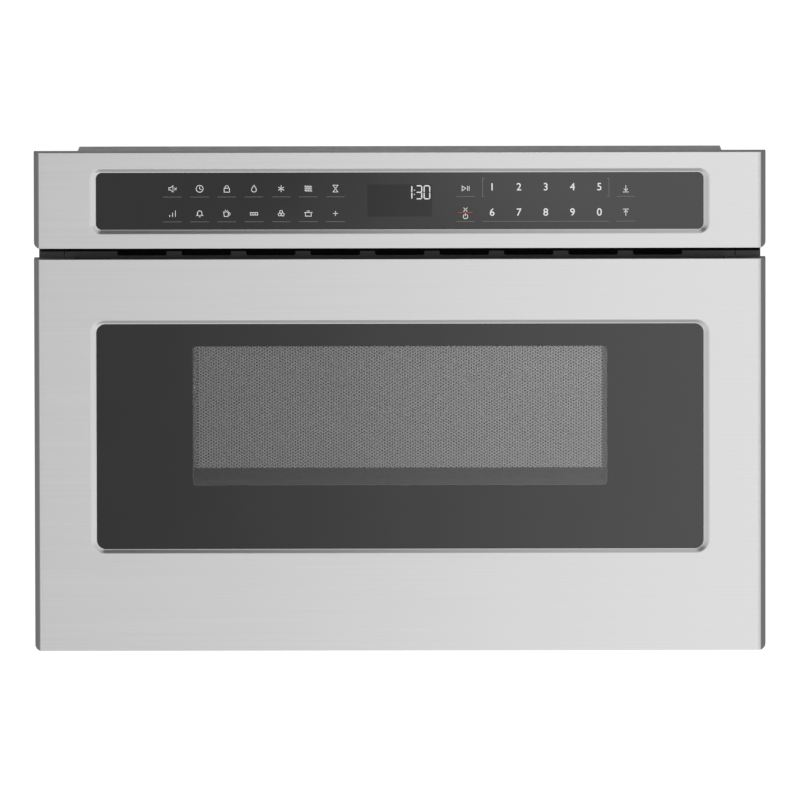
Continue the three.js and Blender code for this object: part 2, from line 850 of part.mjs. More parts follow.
function buildDrive() {
  const half = pinionWidth / 2;
  const motorFace = half + 2 * runGap;
  const shaftEnd = motorFace + driveShaftRadius * 2;
  const pinion = carve([
    runAcross(pinionShape(), -half, half),
    bar('x', driveShaftRadius, 0, shaftEnd, pinionY, pinionHeight, 20),
  ]);
  add('drive_pinion', pinion, palePlastic);

  const motorEnd = motorFace + driveMotorLength;
  const footHalf = driveMotorRadius * driveMotorFootShare;
  const bore = driveShaftRadius + runGap;
  const footBottom = baseSheet + seatGap;
  const motor = carve(
    [
      bar('x', driveMotorRadius, motorFace, motorEnd, pinionY, pinionHeight, 28),
      block(motorFace, motorEnd, pinionY - footHalf, pinionY + footHalf, footBottom, pinionHeight),
    ],
    [bar('x', bore, motorFace - cutPast, shaftEnd + runGap, pinionY, pinionHeight, 20)],
  );
  add('drawer_motor', motor, coreSteel);
}

// ---------- Chassis ----------

function buildCovers() {
  const baseBack = bodyBack - coverSheet - sheetGap;
  const base = shapeOf([
    [-innerSide, 0],
    [innerSide, 0],
    [innerSide, lipHeight],
    [innerSide - baseSheet, lipHeight],
    [innerSide - baseSheet, baseSheet],
    [baseSheet - innerSide, baseSheet],
    [baseSheet - innerSide, lipHeight],
    [-innerSide, lipHeight],
  ]);
  add('base_plate', runBack(base, cavityFront, baseBack), galvanised);

  const lid = shapeOf([
    [-bodySide, bodyHeight - coverSheet],
    [bodySide, bodyHeight - coverSheet],
    [bodySide, bodyHeight],
    [-bodySide, bodyHeight],
  ]);
  const lidLips = [-1, 1].map((side) => sideBlock(
    side,
    innerSide - coverSheet,
    innerSide,
    cavityFront,
    baseBack,
    bodyHeight - lipHeight,
    bodyHeight,
  ));
  add('top_cover', carve([runBack(lid, bodyFront, bodyBack), ...lidLips]), galvanised);

  addPair('side_cover', (side) => sideBlock(
    side,
    bodySide - coverSheet,
    bodySide,
    bodyFront,
    bodyBack,
    0,
    bodyHeight - coverSheet - sheetGap,
  ), galvanised);
}

function buildBackPanel() {
  const panel = block(-innerSide, innerSide, bodyBack - coverSheet, bodyBack, 0, innerTop);
  const slots = [];
  for (let slot = 0; slot < rearSlots; slot += 1) {
    const x = transformerX + (slot - (rearSlots - 1) / 2) * rearSlotPitch;
    const z = innerTop - rearSlotInset - rearSlotHeight / 2;
    slots.push(blockAt(x, bodyBack, z, rearSlotWidth, 4 * coverSheet, rearSlotHeight));
  }
  const holeRadius = glandRadius + sheetGap;
  const holeStart = bodyBack - coverSheet - cutPast;
  const glandHole = bar('y', holeRadius, holeStart, bodyBack + cutPast, glandX, glandZ);
  add('back_panel', carve([panel], [...slots, glandHole]), galvanised);

  const inside = bodyBack - coverSheet - seatGap;
  const outside = bodyBack + seatGap;
  const outerEnd = bodyBack + glandProtrusion;
  const gland = carve(
    [
      bar('y', glandRadius, inside - glandNut, outerEnd, glandX, glandZ),
      bar('y', glandHead, outside, outerEnd, glandX, glandZ),
      bar('y', glandHead, inside - glandNut, inside, glandX, glandZ),
    ],
    [bar('y', glandBore, inside - glandNut - cutPast, outerEnd + cutPast, glandX, glandZ)],
  );
  add('cord_gland', gland, darkPlastic);
}

// The front plate with the openings that the drawer, its slides, rack and latches pass through.
function buildBulkhead() {
  const plate = block(-innerSide, innerSide, bodyFront, bulkheadBack, baseSheet + seatGap, innerTop);
  const through = [bodyFront - cutPast, bulkheadBack + cutPast];
  const reach = 3 * runGap;
  const openings = [
    block(-cavitySide, cavitySide, ...through, cavityFloorTop, cavityCeiling),
    block(-rackWidth, rackWidth, ...through, rackPitchLine - 3 * toothModule, rackTop + reach),
  ];
  [-1, 1].forEach((side) => {
    const railInner = railWeb - 2 * railStep - railDepth - reach;
    const railOuter = railWeb - railStep + railSheet + runGap;
    openings.push(sideBlock(side, railInner, railOuter, ...through, railBottom, railTop));
    const latchHalf = latchSheet / 2 + reach;
    const latchLow = latchZ - latchHeight / 2 - latchBarb - reach;
    const latchHigh = latchZ + latchHeight / 2 + reach;
    openings.push(sideBlock(side, latchX - latchHalf, latchX + latchHalf, ...through, latchLow, latchHigh));
  });
  add('front_bulkhead', carve([plate], openings), galvanised);
}

function buildVentGrille() {
  const back = bodyFront - seatGap;
  const half = bodySide - ventPlateInset;
  const low = ventSlotTop - ventSlotHeight - ventSill;
  const high = panelBottom + ventRise;
  const plate = block(-half, half, back - ventPlateSheet, back, low, high);
  const slots = [];
  for (let slot = 0; slot < ventSlots; slot += 1) {
    const x = (slot - (ventSlots - 1) / 2) * ventPitch;
    const centre = ventSlotTop - ventSlotHeight / 2;
    const width = ventPitch - ventPost;
    const shape = roundedShape(width, ventSlotHeight, ventSlotRadius, x, centre);
    slots.push(runBack(shape, back - ventPlateSheet - cutPast, back + cutPast));
  }
  add('vent_grille', carve([plate], slots), blackSteel);
}

function buildFlanges() {
  addPair('mounting_flange', (side) => {
    const near = bodySide + seatGap;
    const plan = sideShape(side, [
      [near, bodyFront - flangeSheet],
      [near + flangeReach, bodyFront - flangeSheet],
      [near + flangeReach, bodyFront],
      [near + flangeSheet, bodyFront],
      [near + flangeSheet, bodyFront + flangeLeg],
      [near, bodyFront + flangeLeg],
    ]);
    const holes = [flangeHoleInset, bodyHeight / 2, bodyHeight - flangeHoleInset].map((z) => {
      const x = side * (near + flangeReach / 2 + flangeSheet);
      const holeStart = bodyFront - flangeSheet - cutPast;
      return bar('y', flangeHoleRadius, holeStart, bodyFront + cutPast, x, z, 12);
    });
    return carve([raise(plan, 0, bodyHeight - coverSheet)], holes);
  }, galvanised);
}

function buildCavity() {
  const outer = cavitySide + cavitySheet;
  const inside = cavitySide - sheetGap;
  const wallLow = cavityFloorTop + sheetGap;
  const wallHigh = cavityCeiling - sheetGap;
  const floorLow = cavityFloorTop - cavitySheet;
  add('cavity_floor', block(-outer, outer, cavityFront, cavityRear, floorLow, cavityFloorTop), cavityPaint);
  const ceiling = carve(
    [block(-outer, outer, cavityFront, cavityRear, cavityCeiling, cavityTop)],
    [bar('z', ceilingHoleRadius, cavityCeiling - cutPast, cavityTop + cutPast, 0, stirrerY, 32)],
  );
  add('cavity_ceiling', ceiling, cavityPaint);
  add('cavity_back_wall', block(-inside, inside, cavityBack, cavityRear, wallLow, wallHigh), cavityPaint);
  addPair('cavity_wall', (side) => (
    sideBlock(side, cavitySide, outer, cavityFront, cavityRear, wallLow, wallHigh)
  ), cavityPaint);

  const half = stirrerCoverWidth / 2;
  const top = cavityCeiling - seatGap;
  const cover = roundedPoints(stirrerCoverWidth, stirrerCoverWidth, half / 8, 0, stirrerY);
  add('stirrer_cover', raise(shapeOf(cover), top - stirrerCoverSheet, top), mica);
}

// ---------- Control panel ----------

function buildControlPanel() {
  const skin = frontSkin(
    panelBottom,
    panelTop,
    controlGlassHeight,
    controlGlassCentre,
    controlGlassRadius,
    [lipCut(panelBottom)],
  );
  add('control_panel_skin', skin, stainless);
  const glass = glassPlate(
    controlGlassHeight,
    controlGlassCentre,
    controlGlassRadius,
    controlGlassSheet,
  );
  add('control_glass', glass, blackGlass);

  const displayFront = controlGlassBack + seatGap;
  const displayBack = displayFront + displayDepth;
  const low = controlGlassCentre - displayHeight / 2;
  const high = controlGlassCentre + displayHeight / 2;
  const side = displayWidth / 2;
  add('display_module', block(-side, side, displayFront, displayBack, low, high), darkPlastic);

  const boardHalf = glassWidth / 2 - boardInset;
  const boardFront = displayBack + seatGap;
  const boardRise = controlGlassHeight / 2 - boardEdge;
  const board = block(
    -boardHalf,
    boardHalf,
    boardFront,
    boardFront + boardSheet,
    controlGlassCentre - boardRise,
    controlGlassCentre + boardRise,
  );
  add('control_board', board, boardGreen);

  const half = glassWidth / 2 + glassLap - housingInset;
  const rise = controlGlassHeight / 2 + glassLap - housingInset;
  const back = bodyFront - seatGap;
  const housing = carve(
    [block(-half, half, displayFront, back, controlGlassCentre - rise, controlGlassCentre + rise)],
    [block(
      frameSheet - half,
      half - frameSheet,
      displayFront - cutPast,
      back - frameSheet,
      controlGlassCentre - rise + frameSheet,
      controlGlassCentre + rise - frameSheet,
    )],
  );
  add('control_housing', housing, darkPlastic);
}

// ---------- Microwave feed ----------

function buildFeed() {
  const half = waveguideWidth / 2;
  const inner = half - guideSheet;
  const hole = ceilingHoleRadius;
  const shaftHole = stirrerShaftRadius + runGap;
  const antennaHole = antennaRadius + antennaClearance;
  const waveguide = carve(
    [block(-half, half, waveguideFront, waveguideBack, guideBottom, guideTop)],
    [
      block(
        -inner,
        inner,
        waveguideFront + guideSheet,
        waveguideBack - guideSheet,
        guideBottom + guideSheet,
        guideTop - guideSheet,
      ),
      bar('z', hole, guideBottom - cutPast, guideBottom + 2 * guideSheet, 0, stirrerY, 32),
      bar('z', shaftHole, guideTop - 2 * guideSheet, guideTop + cutPast, 0, stirrerY, 16),
      bar('z', antennaHole, guideTop - 2 * guideSheet, guideTop + cutPast, 0, magnetronY, 20),
    ],
  );
  add('waveguide', waveguide, galvanised);

  const bladeLow = guideBottom + stirrerDrop;
  const bladeHigh = bladeLow + stirrerHubHeight;
  const motorBottom = guideTop + seatGap;
  const shaftTop = motorBottom + shaftGrip;
  const parts = [bar('z', stirrerShaftRadius, bladeLow, shaftTop, 0, stirrerY, 16)];
  parts.push(bar('z', stirrerRadius / 6, bladeLow, bladeHigh, 0, stirrerY, 20));
  for (let blade = 0; blade < stirrerBlades; blade += 1) {
    const vane = new THREE.BoxGeometry(
      stirrerRadius * stirrerBladeLengthShare,
      stirrerRadius * stirrerBladeWidthShare,
      stirrerBladeSheet,
    );
    vane.rotateX(stirrerBladeTilt);
    vane.translate(stirrerRadius / 2, 0, (bladeLow + bladeHigh - stirrerBladeSheet) / 2);
    vane.rotateZ(blade * 2 * Math.PI / stirrerBlades);
    parts.push(vane.translate(0, stirrerY, 0));
  }
  add('stirrer', carve(parts), galvanised);

  const motorTop = motorBottom + stirrerMotorHeight;
  const motor = carve(
    [bar('z', stirrerMotorRadius, motorBottom, motorTop, 0, stirrerY, 28)],
    [bar('z', shaftHole, motorBottom - cutPast, shaftTop + runGap, 0, stirrerY, 16)],
  );
  add('stirrer_motor', motor, coreSteel);
}

// An anode block between two plates, with cooling fins across it and the antenna below.
function buildMagnetron() {
  const bottom = guideTop + seatGap;
  const halfX = magnetronWidth / 2;
  const halfY = magnetronDepth / 2;
  const top = bottom + magnetronHeight;
  const front = magnetronY - halfY;
  const back = magnetronY + halfY;
  const antennaEnd = guideTop - waveguideHeight / 2;
  const parts = [
    block(-halfX, halfX, front, back, bottom, bottom + magnetronSheet),
    block(-halfX, halfX, front, back, top - magnetronSheet, top),
    bar('z', magnetronWidth / 4, bottom, top, 0, magnetronY, 24),
    bar('z', antennaRadius, antennaEnd, bottom + magnetronSheet, 0, magnetronY, 20),
    block(-halfX, halfX, front, front + magnetronSheet, bottom, top),
    block(-halfX, halfX, back - magnetronSheet, back, bottom, top),
  ];
  const pitch = (magnetronHeight - 2 * magnetronSheet) / (magnetronFins + 1);
  const finWidth = magnetronWidth * magnetronFinShare;
  for (let fin = 1; fin <= magnetronFins; fin += 1) {
    const z = bottom + magnetronSheet + fin * pitch;
    parts.push(blockAt(0, magnetronY, z, finWidth, magnetronDepth, magnetronFinSheet));
  }
  add('magnetron', carve(parts), galvanised);
}

// ---------- Cooling fan ----------

function buildFan() {
  const back = fanY + fanDepth;
  const opening = fanWheelRadius + fanTipGap;
  const barHalf = fanMotorRadius * fanBarShare;
  const barFront = back - fanBarSheet;
  const left = fanX - fanWindow;
  const right = fanX + fanWindow;
  const high = fanCentreZ + fanWindow;
  const low = fanCentreZ - fanWindow;
  const shaftHole = fanShaftRadius + runGap;
  const housing = carve(
    [blockAt(fanX, fanY + fanDepth / 2, fanCentreZ, fanSize, fanDepth, fanSize)],
    [
      bar('y', opening, fanY - cutPast, barFront, fanX, fanCentreZ, 32),
      block(left, right, barFront - cutPast, back + cutPast, fanCentreZ + barHalf, high),
      block(left, right, barFront - cutPast, back + cutPast, low, fanCentreZ - barHalf),
      bar('y', shaftHole, fanY, back + cutPast, fanX, fanCentreZ, 16),
    ],
  );
  add('fan_housing', housing, darkPlastic);

  const motorFront = back + seatGap;
  const shaftEnd = motorFront + shaftGrip;
  const wheelFront = fanY + fanTipGap;
  const wheelBack = barFront - fanTipGap;
  const parts = [
    bar('y', fanShaftRadius, wheelFront, shaftEnd, fanX, fanCentreZ, 16),
    bar('y', fanWheelRadius / 3, wheelFront, wheelBack, fanX, fanCentreZ, 24),
  ];
  for (let blade = 0; blade < fanBlades; blade += 1) {
    const vane = new THREE.BoxGeometry(
      fanWheelRadius * fanBladeLengthShare,
      fanBladeSheet,
      fanWheelRadius * fanBladeWidthShare,
    );
    vane.rotateX(fanBladeTilt);
    vane.translate(fanWheelRadius * fanBladeCentreShare, 0, 0);
    vane.rotateY(blade * 2 * Math.PI / fanBlades);
    parts.push(vane.translate(fanX, (wheelFront + wheelBack) / 2, fanCentreZ));
  }
  add('fan_wheel', carve(parts), palePlastic);

  const motor = carve(
    [bar('y', fanMotorRadius, motorFront, motorFront + fanMotorLength, fanX, fanCentreZ, 28)],
    [bar('y', shaftHole, motorFront - cutPast, shaftEnd + runGap, fanX, fanCentreZ, 16)],
  );
  add('fan_motor', motor, coreSteel);
}

// ---------- Electrical pieces ----------

function buildElectrics() {
  const floor = baseSheet + seatGap;
  const halfX = transformerWidth / 2;
  const y0 = rearBayY - transformerDepth;
  const windingHalf = halfX * windingShare;
  const coreTop = floor + transformerHeight;
  const yoke = transformerHeight / 6;
  const core = block(
    transformerX - halfX,
    transformerX + halfX,
    y0 + windingReach,
    rearBayY - windingReach,
    floor,
    coreTop,
  );
  const winding = block(
    transformerX - windingHalf,
    transformerX + windingHalf,
    y0,
    rearBayY,
    floor + yoke,
    coreTop - yoke,
  );
  add('high_voltage_transformer', carve([core, winding]), copper);

  const can = roundedPoints(
    capacitorWidth,
    capacitorDepth,
    (capacitorDepth - capacitorFlat) / 2,
    capacitorX,
    rearBayY - capacitorDepth / 2,
  );
  const canTop = floor + capacitorHeight;
  const terminals = [-1, 1].map((side) => blockAt(
    capacitorX + side * capacitorWidth / 5,
    rearBayY - capacitorDepth / 2,
    canTop + terminalHeight / 2 - terminalSunk,
    terminalWidth,
    terminalSheet,
    terminalHeight,
  ));
  add('high_voltage_capacitor', carve([raise(shapeOf(can), floor, canTop), ...terminals]), railSteel);

  const boardLow = guideBottom + standoffHeight;
  const boardTop = boardLow + boardSheet;
  const parts = [blockAt(boardX, 0, boardLow + boardSheet / 2, boardWidth, boardDepth, boardSheet)];
  const standoffInset = 2 * standoffRadius;
  [-1, 1].forEach((sideX) => [-1, 1].forEach((sideY) => {
    const x = boardX + sideX * (boardWidth / 2 - standoffInset);
    const y = sideY * (boardDepth / 2 - standoffInset);
    parts.push(bar('z', standoffRadius, guideBottom, boardTop, x, y, 10));
  }));
  const coilZ = boardTop + chokeCoilHeight / 2;
  const coilX = boardX - boardWidth / 4;
  parts.push(blockAt(coilX, 0, coilZ, chokeCoilWidth, chokeCoilDepth, chokeCoilHeight));
  for (let relay = 0; relay < relays; relay += 1) {
    const y = (relay - (relays - 1) / 2) * relayPitch;
    const z = boardTop + relayHeight / 2;
    parts.push(blockAt(boardX + boardWidth / 4, y, z, relayWidth, relayDepth, relayHeight));
  }
  add('power_board', carve(parts), boardGreen);

  const wall = cavitySide + cavitySheet + seatGap;
  const lampY = cavityBack - lampInset;
  const lamp = carve([
    bar('x', lampRadius, wall, wall + lampBaseLength, lampY, lampHeight, 20),
    bar('x', lampBulbRadius, wall, wall + lampLength, lampY, lampHeight, 20),
  ]);
  add('oven_lamp', lamp, palePlastic);
}

// ---------- Latches ----------

function buildLatches() {
  const front = chokeBack + seatGap;
  const low = latchZ - latchHeight / 2;
  const high = latchZ + latchHeight / 2;
  const end = front + latchReach;
  addPair('latch_hook', (side) => {
    const profile = shapeOf([
      [front, low],
      [end - 2 * latchBarb, low],
      [end - 2 * latchBarb, low - latchBarb],
      [end - latchBarb, low - latchBarb],
      [end, low + latchBarb / 2],
      [end, high],
      [front, high],
    ]);
    return runAcross(profile, side * latchX - latchSheet / 2, side * latchX + latchSheet / 2);
  }, palePlastic);
  addPair('interlock_switch', (side) => {
    const x = side * latchX;
    const bottom = cavityTop + seatGap;
    const slotHalf = latchSheet / 2 + 2 * runGap;
    const box = block(
      x - switchWidth / 2,
      x + switchWidth / 2,
      cavityFront,
      cavityFront + switchDepth,
      bottom,
      bottom + switchHeight,
    );
    const slot = block(
      x - slotHalf,
      x + slotHalf,
      cavityFront - cutPast,
      end + 2 * runGap,
      bottom - cutPast,
      high + 2 * runGap,
    );
    return carve([box], [slot]);
  }, darkPlastic);
}

buildDrawerFront();
buildWindow();
buildDrawerFrame();
buildTub();
buildSlides();
buildRack();
buildDrive();
buildCovers();
buildBackPanel();
buildBulkhead();
buildVentGrille();
buildFlanges();
buildCavity();
buildControlPanel();
buildFeed();
buildMagnetron();
buildFan();
buildElectrics();
buildLatches();

export default drawerUnit;
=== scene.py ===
"""Looks of a built-in microwave drawer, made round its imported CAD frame. Metres, +Z up, front towards -Y."""

import json
from math import cos, hypot, pi, radians, sin, sqrt, tan

import bmesh
import bpy
from mathutils import Matrix, Vector

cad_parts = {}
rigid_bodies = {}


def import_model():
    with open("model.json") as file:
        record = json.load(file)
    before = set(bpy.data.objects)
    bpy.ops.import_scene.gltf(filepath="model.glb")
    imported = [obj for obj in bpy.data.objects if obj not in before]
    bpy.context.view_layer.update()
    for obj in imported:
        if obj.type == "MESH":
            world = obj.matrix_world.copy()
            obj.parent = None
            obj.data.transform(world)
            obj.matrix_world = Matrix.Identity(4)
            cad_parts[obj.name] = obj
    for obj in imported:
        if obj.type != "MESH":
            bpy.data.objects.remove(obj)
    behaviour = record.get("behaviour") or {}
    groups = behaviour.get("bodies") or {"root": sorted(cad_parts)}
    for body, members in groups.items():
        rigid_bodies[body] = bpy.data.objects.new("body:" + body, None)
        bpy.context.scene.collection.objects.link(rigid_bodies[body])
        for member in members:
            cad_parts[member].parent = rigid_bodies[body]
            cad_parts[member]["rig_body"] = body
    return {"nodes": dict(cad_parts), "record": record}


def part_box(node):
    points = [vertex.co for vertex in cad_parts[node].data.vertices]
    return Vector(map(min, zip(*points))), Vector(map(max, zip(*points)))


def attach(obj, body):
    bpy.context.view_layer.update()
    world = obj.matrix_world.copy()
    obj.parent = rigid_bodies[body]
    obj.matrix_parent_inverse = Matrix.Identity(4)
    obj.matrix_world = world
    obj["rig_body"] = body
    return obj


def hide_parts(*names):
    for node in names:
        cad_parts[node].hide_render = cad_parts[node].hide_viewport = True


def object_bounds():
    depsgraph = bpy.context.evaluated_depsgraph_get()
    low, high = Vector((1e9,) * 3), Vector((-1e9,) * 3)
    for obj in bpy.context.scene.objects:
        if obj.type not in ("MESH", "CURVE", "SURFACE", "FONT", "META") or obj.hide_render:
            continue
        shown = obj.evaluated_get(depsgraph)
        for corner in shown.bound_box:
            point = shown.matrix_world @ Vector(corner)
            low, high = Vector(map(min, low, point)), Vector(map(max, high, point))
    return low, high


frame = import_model()
cad_low, cad_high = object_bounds()

# --- Sizes ---

MM = 0.001
NEAR = 1e-6

# Shading and rounding of every piece
SOFT_ANGLE = 35
CORNER_STEPS = 12
EDGE_ROUND = 0.35 * MM
FINE_ROUND = 0.25 * MM
ROUND_STEPS = 2
ROUND_ANGLE = 40
WELD_REACH = 0.002 * MM
FLAT_ANGLE = 0.5
BUMP_DEPTH = 0.1 * MM
NOISE_DETAIL = 5

# Stainless skins
SKIN_SHEET = 0.9 * MM
SKIN_ANGLE = 30
SIDE_BEVEL_WIDTH = 4.5 * MM
SIDE_BEVEL_DEPTH = 9 * MM
SIDE_BEND_RADIUS = 7 * MM
FRONT_BEND_RADIUS = 3 * MM
BEND_STEPS = 5
STRIP_WIDTH = 1.2 * MM
EDGE_RADIUS = 1.1 * MM
EDGE_STEPS = 4
CORNER_RADIUS = 5 * MM
LIP_DEPTH = 10 * MM
LIP_MARGIN = 0.8 * MM
NOTCH_DEPTH = 2 * MM
NOTCHES = ((-255 * MM, 14.5 * MM), (0, 48 * MM), (255 * MM, 14.5 * MM))
EAR_START = 269 * MM
EAR_MARGIN = 0.1 * MM
FACE_BORDER = 9 * MM
RECESS_DEPTH = 2.7 * MM
RECESS_SIDE_SLOPE = 5 * MM
RECESS_TOP_SLOPE = 3.8 * MM
RECESS_STEPS = 9
RECESS_BEND = 0.22
GLASS_LAP = 6 * MM
DRAWER_GLASS_RADIUS = 7.5 * MM
CONTROL_GLASS_RADIUS = 5 * MM

# Window
PANE_SHEET = 1.2 * MM
SCREEN_LAP = 8 * MM
SCREEN_ANGLE = 50
WINDOW_RADIUS = 3.3 * MM
HOLE_ROW_PITCH = 2.49 * MM
HOLE_COLUMN_PITCH = 2.12 * MM
HOLE_RADIUS = 0.78 * MM
HOLE_MARGIN = 1.5 * MM
WELDS_PER_MM = 50
GASKET_DEPTH = 6 * MM
GASKET_SHEET = 0.5 * MM
REVEAL_PLAY = 0.1 * MM
REVEAL_DRAFT = 0.2 * MM
REVEAL_STRIP = 3.4 * MM
REVEAL_STRIP_DEPTH = 1.5 * MM
REVEAL_SIDE = 3.2 * MM
REVEAL_SILL = 12 * MM
REVEAL_RADIUS = 0.8 * MM
REVEAL_STEPS = 6

# Air outlet in the gap between panel and drawer
VENT_SLOTS = 9
VENT_PITCH = 53.5 * MM
VENT_WIDTH = 41 * MM
VENT_FOOT = 293.8 * MM
VENT_BAR_FOOT = 304.8 * MM
VENT_BAR_TOP = 308.2 * MM
VENT_TOP = 313.4 * MM
VENT_RADIUS = 1.5 * MM
VENT_STEPS = 4
GRILLE_HALF = 277.6 * MM
GRILLE_RADIUS = 1 * MM
# Black sheet behind the vent slots: painted shade for the dark inside seen through them
SHADE_SHEET_GAP = 0.02 * MM
SHADE_SHEET_BACK = 0.2 * MM
SHADE_SHEET_MARGIN = 1 * MM
# Black strip under the control panel: painted shade for the dark gap there
SHADE_STRIP_INSET = 5 * MM
SHADE_STRIP_HEIGHT = 4.2 * MM
SHADE_STRIP_DEPTH = 3 * MM
SHADE_STRIP_RADIUS = 0.4 * MM
SMALL_STEPS = 3

# Print on the control glass, in metres
INK_SHEET = 0.06 * MM
FILM_SHEET = 0.02 * MM
STROKE = 0.5 * MM
FINE_STROKE = 0.3 * MM
NUMERAL_WEIGHT = 0.05 * MM
MITRE_LIMIT = 0.5

# Drawer inside
RIM_MARGIN = 0.6 * MM
RIM_SINK = 0.4 * MM
RIM_RADIUS = 9 * MM
RIM_FLATNESS = 0.8
RIM_STEPS = 8
RIM_ANGLE = 50
CHOKE_COVER = 0.25 * MM
CHOKE_GAP = 0.02 * MM
CHOKE_INSET = 1.5 * MM
CHOKE_RADIUS = 6 * MM
OPENING_INSET = 6 * MM
OPENING_RADIUS = 10 * MM
CAP_DROP = 2.2 * MM
CAP_SHEET = 1.2 * MM
CAP_SLOPE = 3.2 * MM
CAP_LAP = 2 * MM
CAP_FLAT_END = 4 * MM
CAP_SLOPE_END = 3 * MM
CAP_INSET = 1 * MM
BALLS = 9
BALL_PITCH = 11 * MM
BALL_RADIUS = 1.6 * MM
BALL_INSET = 5 * MM
BALL_SEGMENTS = 12
BALL_RINGS = 8
BALL_ANGLE = 60

# Screws, beads and louvres
SCREW_PROFILE = ((0.45, 0.96), (0.75, 0.8), (0.93, 0.5), (1.0, 0.12), (1.0, 0.0))
SCREW_RADIUS = 3.6 * MM
SCREW_RISE = 0.55
SCREW_STEPS = 20
SCREW_ANGLE = 40
SCREW_INSET = 7 * MM
CROSS_HALF = 0.13
CROSS_ARM = 0.42
CROSS_TOP = 0.98
CROSS_FLOOR = 0.35
CROSS_TAPER = 0.7
BEAD_PROFILE = ((1.0, 0.0), (0.86, 0.3), (0.6, 0.78), (0.3, 1.0))
BEAD_WIDTH = 9 * MM
BEAD_RISE = 1 * MM
BEAD_STEPS = 8
BEAD_ANGLE = 50
LOUVRE_SHARES = (0.0, 0.33, 0.66, 1.0)
LOUVRE_LENGTH = 34 * MM
LOUVRE_WIDTH = 7 * MM
LOUVRE_RISE = 3 * MM
LOUVRE_SHEET = 0.6 * MM
LOUVRE_STEPS = 10
LOUVRE_ANGLE = 40

# Camera: the photograph's view, from far in front and a little above
CAMERA_DISTANCE = 12.0
CAMERA_LENS = 652
CAMERA_SENSOR = 36
CAMERA_REACH = 100
CAMERA_PITCH = radians(-4.2)
CAMERA_ROLL = radians(-0.1)
CAMERA_AIM_RISE = 1.5 * MM

# Floor, backdrop and light cards, whose sizes are half the width, start and end
BACKDROP_LEVEL = 1.05
FLOOR_SIZE = (40, -40, 40)
FLOOR_DROP = 0.5 * MM
CARD_SIZE = (2.4, -1.6, 1.5)
CARD_DISTANCE = 2.2
OVERHEAD_SIZE = (1.3, -1.5, -0.35)
OVERHEAD_HEIGHT = 1.15


# --- Materials ---


def add_node(tree, kind, **inputs):
    """A shader node whose inputs, with underscores for spaces, are values or sockets."""
    node = tree.nodes.new("ShaderNode" + kind)
    for name, value in inputs.items():
        socket = node.inputs[name.replace("_", " ")]
        if isinstance(value, bpy.types.NodeSocket):
            tree.links.new(value, socket)
        else:
            socket.default_value = value
    return node


def bare_material(name):
    """A new material without a shader. Returns it and its node tree."""
    material = bpy.data.materials.new(name)
    material.use_nodes = True
    tree = material.node_tree
    tree.nodes.remove(tree.nodes["Principled BSDF"])
    return material, tree


def show_mix(tree, share, first, second):
    """Gives the surface a mix of two shaders."""
    mix = add_node(tree, "MixShader", Fac=share)
    tree.links.new(first.outputs[0], mix.inputs[1])
    tree.links.new(second.outputs[0], mix.inputs[2])
    tree.links.new(mix.outputs["Shader"], tree.nodes["Material Output"].inputs["Surface"])


def pattern(tree, kind, scale, stretch=(1, 1, 1)):
    """The value of a texture in real sizes: noise, cells or bands."""
    place = add_node(tree, "TexCoord")
    mapping = add_node(tree, "Mapping", Vector=place.outputs["Object"], Scale=stretch)
    vector = mapping.outputs["Vector"]
    if kind == "cells":
        texture = add_node(tree, "TexVoronoi", Scale=scale, Vector=vector)
        return add_node(tree, "SeparateColor", Color=texture.outputs["Color"]).outputs["Red"]
    if kind == "bands":
        texture = add_node(tree, "TexWave", Scale=scale, Vector=vector)
        texture.bands_direction = "Z"
    else:
        texture = add_node(tree, "TexNoise", Detail=NOISE_DETAIL, Scale=scale, Vector=vector)
    return texture.outputs["Fac"]


def ranged(tree, value, low, high, start=0.3, end=0.7, curve="LINEAR"):
    """The value carried over from start and end to low and high."""
    node = add_node(tree, "MapRange", Value=value, From_Min=start, From_Max=end, To_Min=low, To_Max=high)
    node.interpolation_type = curve
    return node.outputs["Result"]


def textured(
    name, dark, light, roughness, metallic=0.0, kind="noise", scale=300, stretch=(1, 1, 1), bump=0.1,
    specular=0.5, spread=(0.3, 0.7),
):
    """A material whose colour, roughness and relief vary together. A shade of one number is grey."""
    material = bpy.data.materials.new(name)
    material.use_nodes = True
    tree = material.node_tree
    shader = tree.nodes["Principled BSDF"]
    shader.inputs["Metallic"].default_value = metallic
    shader.inputs["Roughness"].default_value = roughness[0]
    shader.inputs["Specular IOR Level"].default_value = specular
    value = pattern(tree, kind, scale, stretch)
    ramp = add_node(tree, "ValToRGB", Fac=value)
    for stop, place, shade in zip(ramp.color_ramp.elements, spread, (dark, light)):
        stop.position = place
        stop.color = (*shade, 1) if isinstance(shade, tuple) else (shade, shade, shade, 1)
    tree.links.new(ramp.outputs["Color"], shader.inputs["Base Color"])
    tree.links.new(ranged(tree, value, *roughness, *spread), shader.inputs["Roughness"])
    if bump:
        relief = add_node(tree, "Bump", Strength=bump, Distance=BUMP_DEPTH, Height=value)
        tree.links.new(relief.outputs["Normal"], shader.inputs["Normal"])
    MATERIALS[name] = material
    return material


def brushed_steel():
    """Stainless steel brushed from side to side."""
    material = textured(
        "brushed_stainless", 0.468, 0.503, (0.38, 0.44), 1.0, scale=1, stretch=(6, 1400, 1400),
        bump=0.06,
    )
    shader = material.node_tree.nodes["Principled BSDF"]
    shader.inputs["Anisotropic"].default_value = 0.4
    shader.inputs["Anisotropic Rotation"].default_value = 0.25
    return material


def glass_pane():
    """Clear glass that shows what is behind it and mirrors what is in front."""
    material, tree = bare_material("clear_pane")
    tint = ranged(tree, pattern(tree, "noise", 4), 0.86, 0.9)
    clear = add_node(tree, "BsdfTransparent", Color=tint)
    gloss = add_node(tree, "BsdfGlossy", Roughness=0.03)
    show_mix(tree, add_node(tree, "Fresnel", IOR=1.5).outputs["Fac"], clear, gloss)
    return material


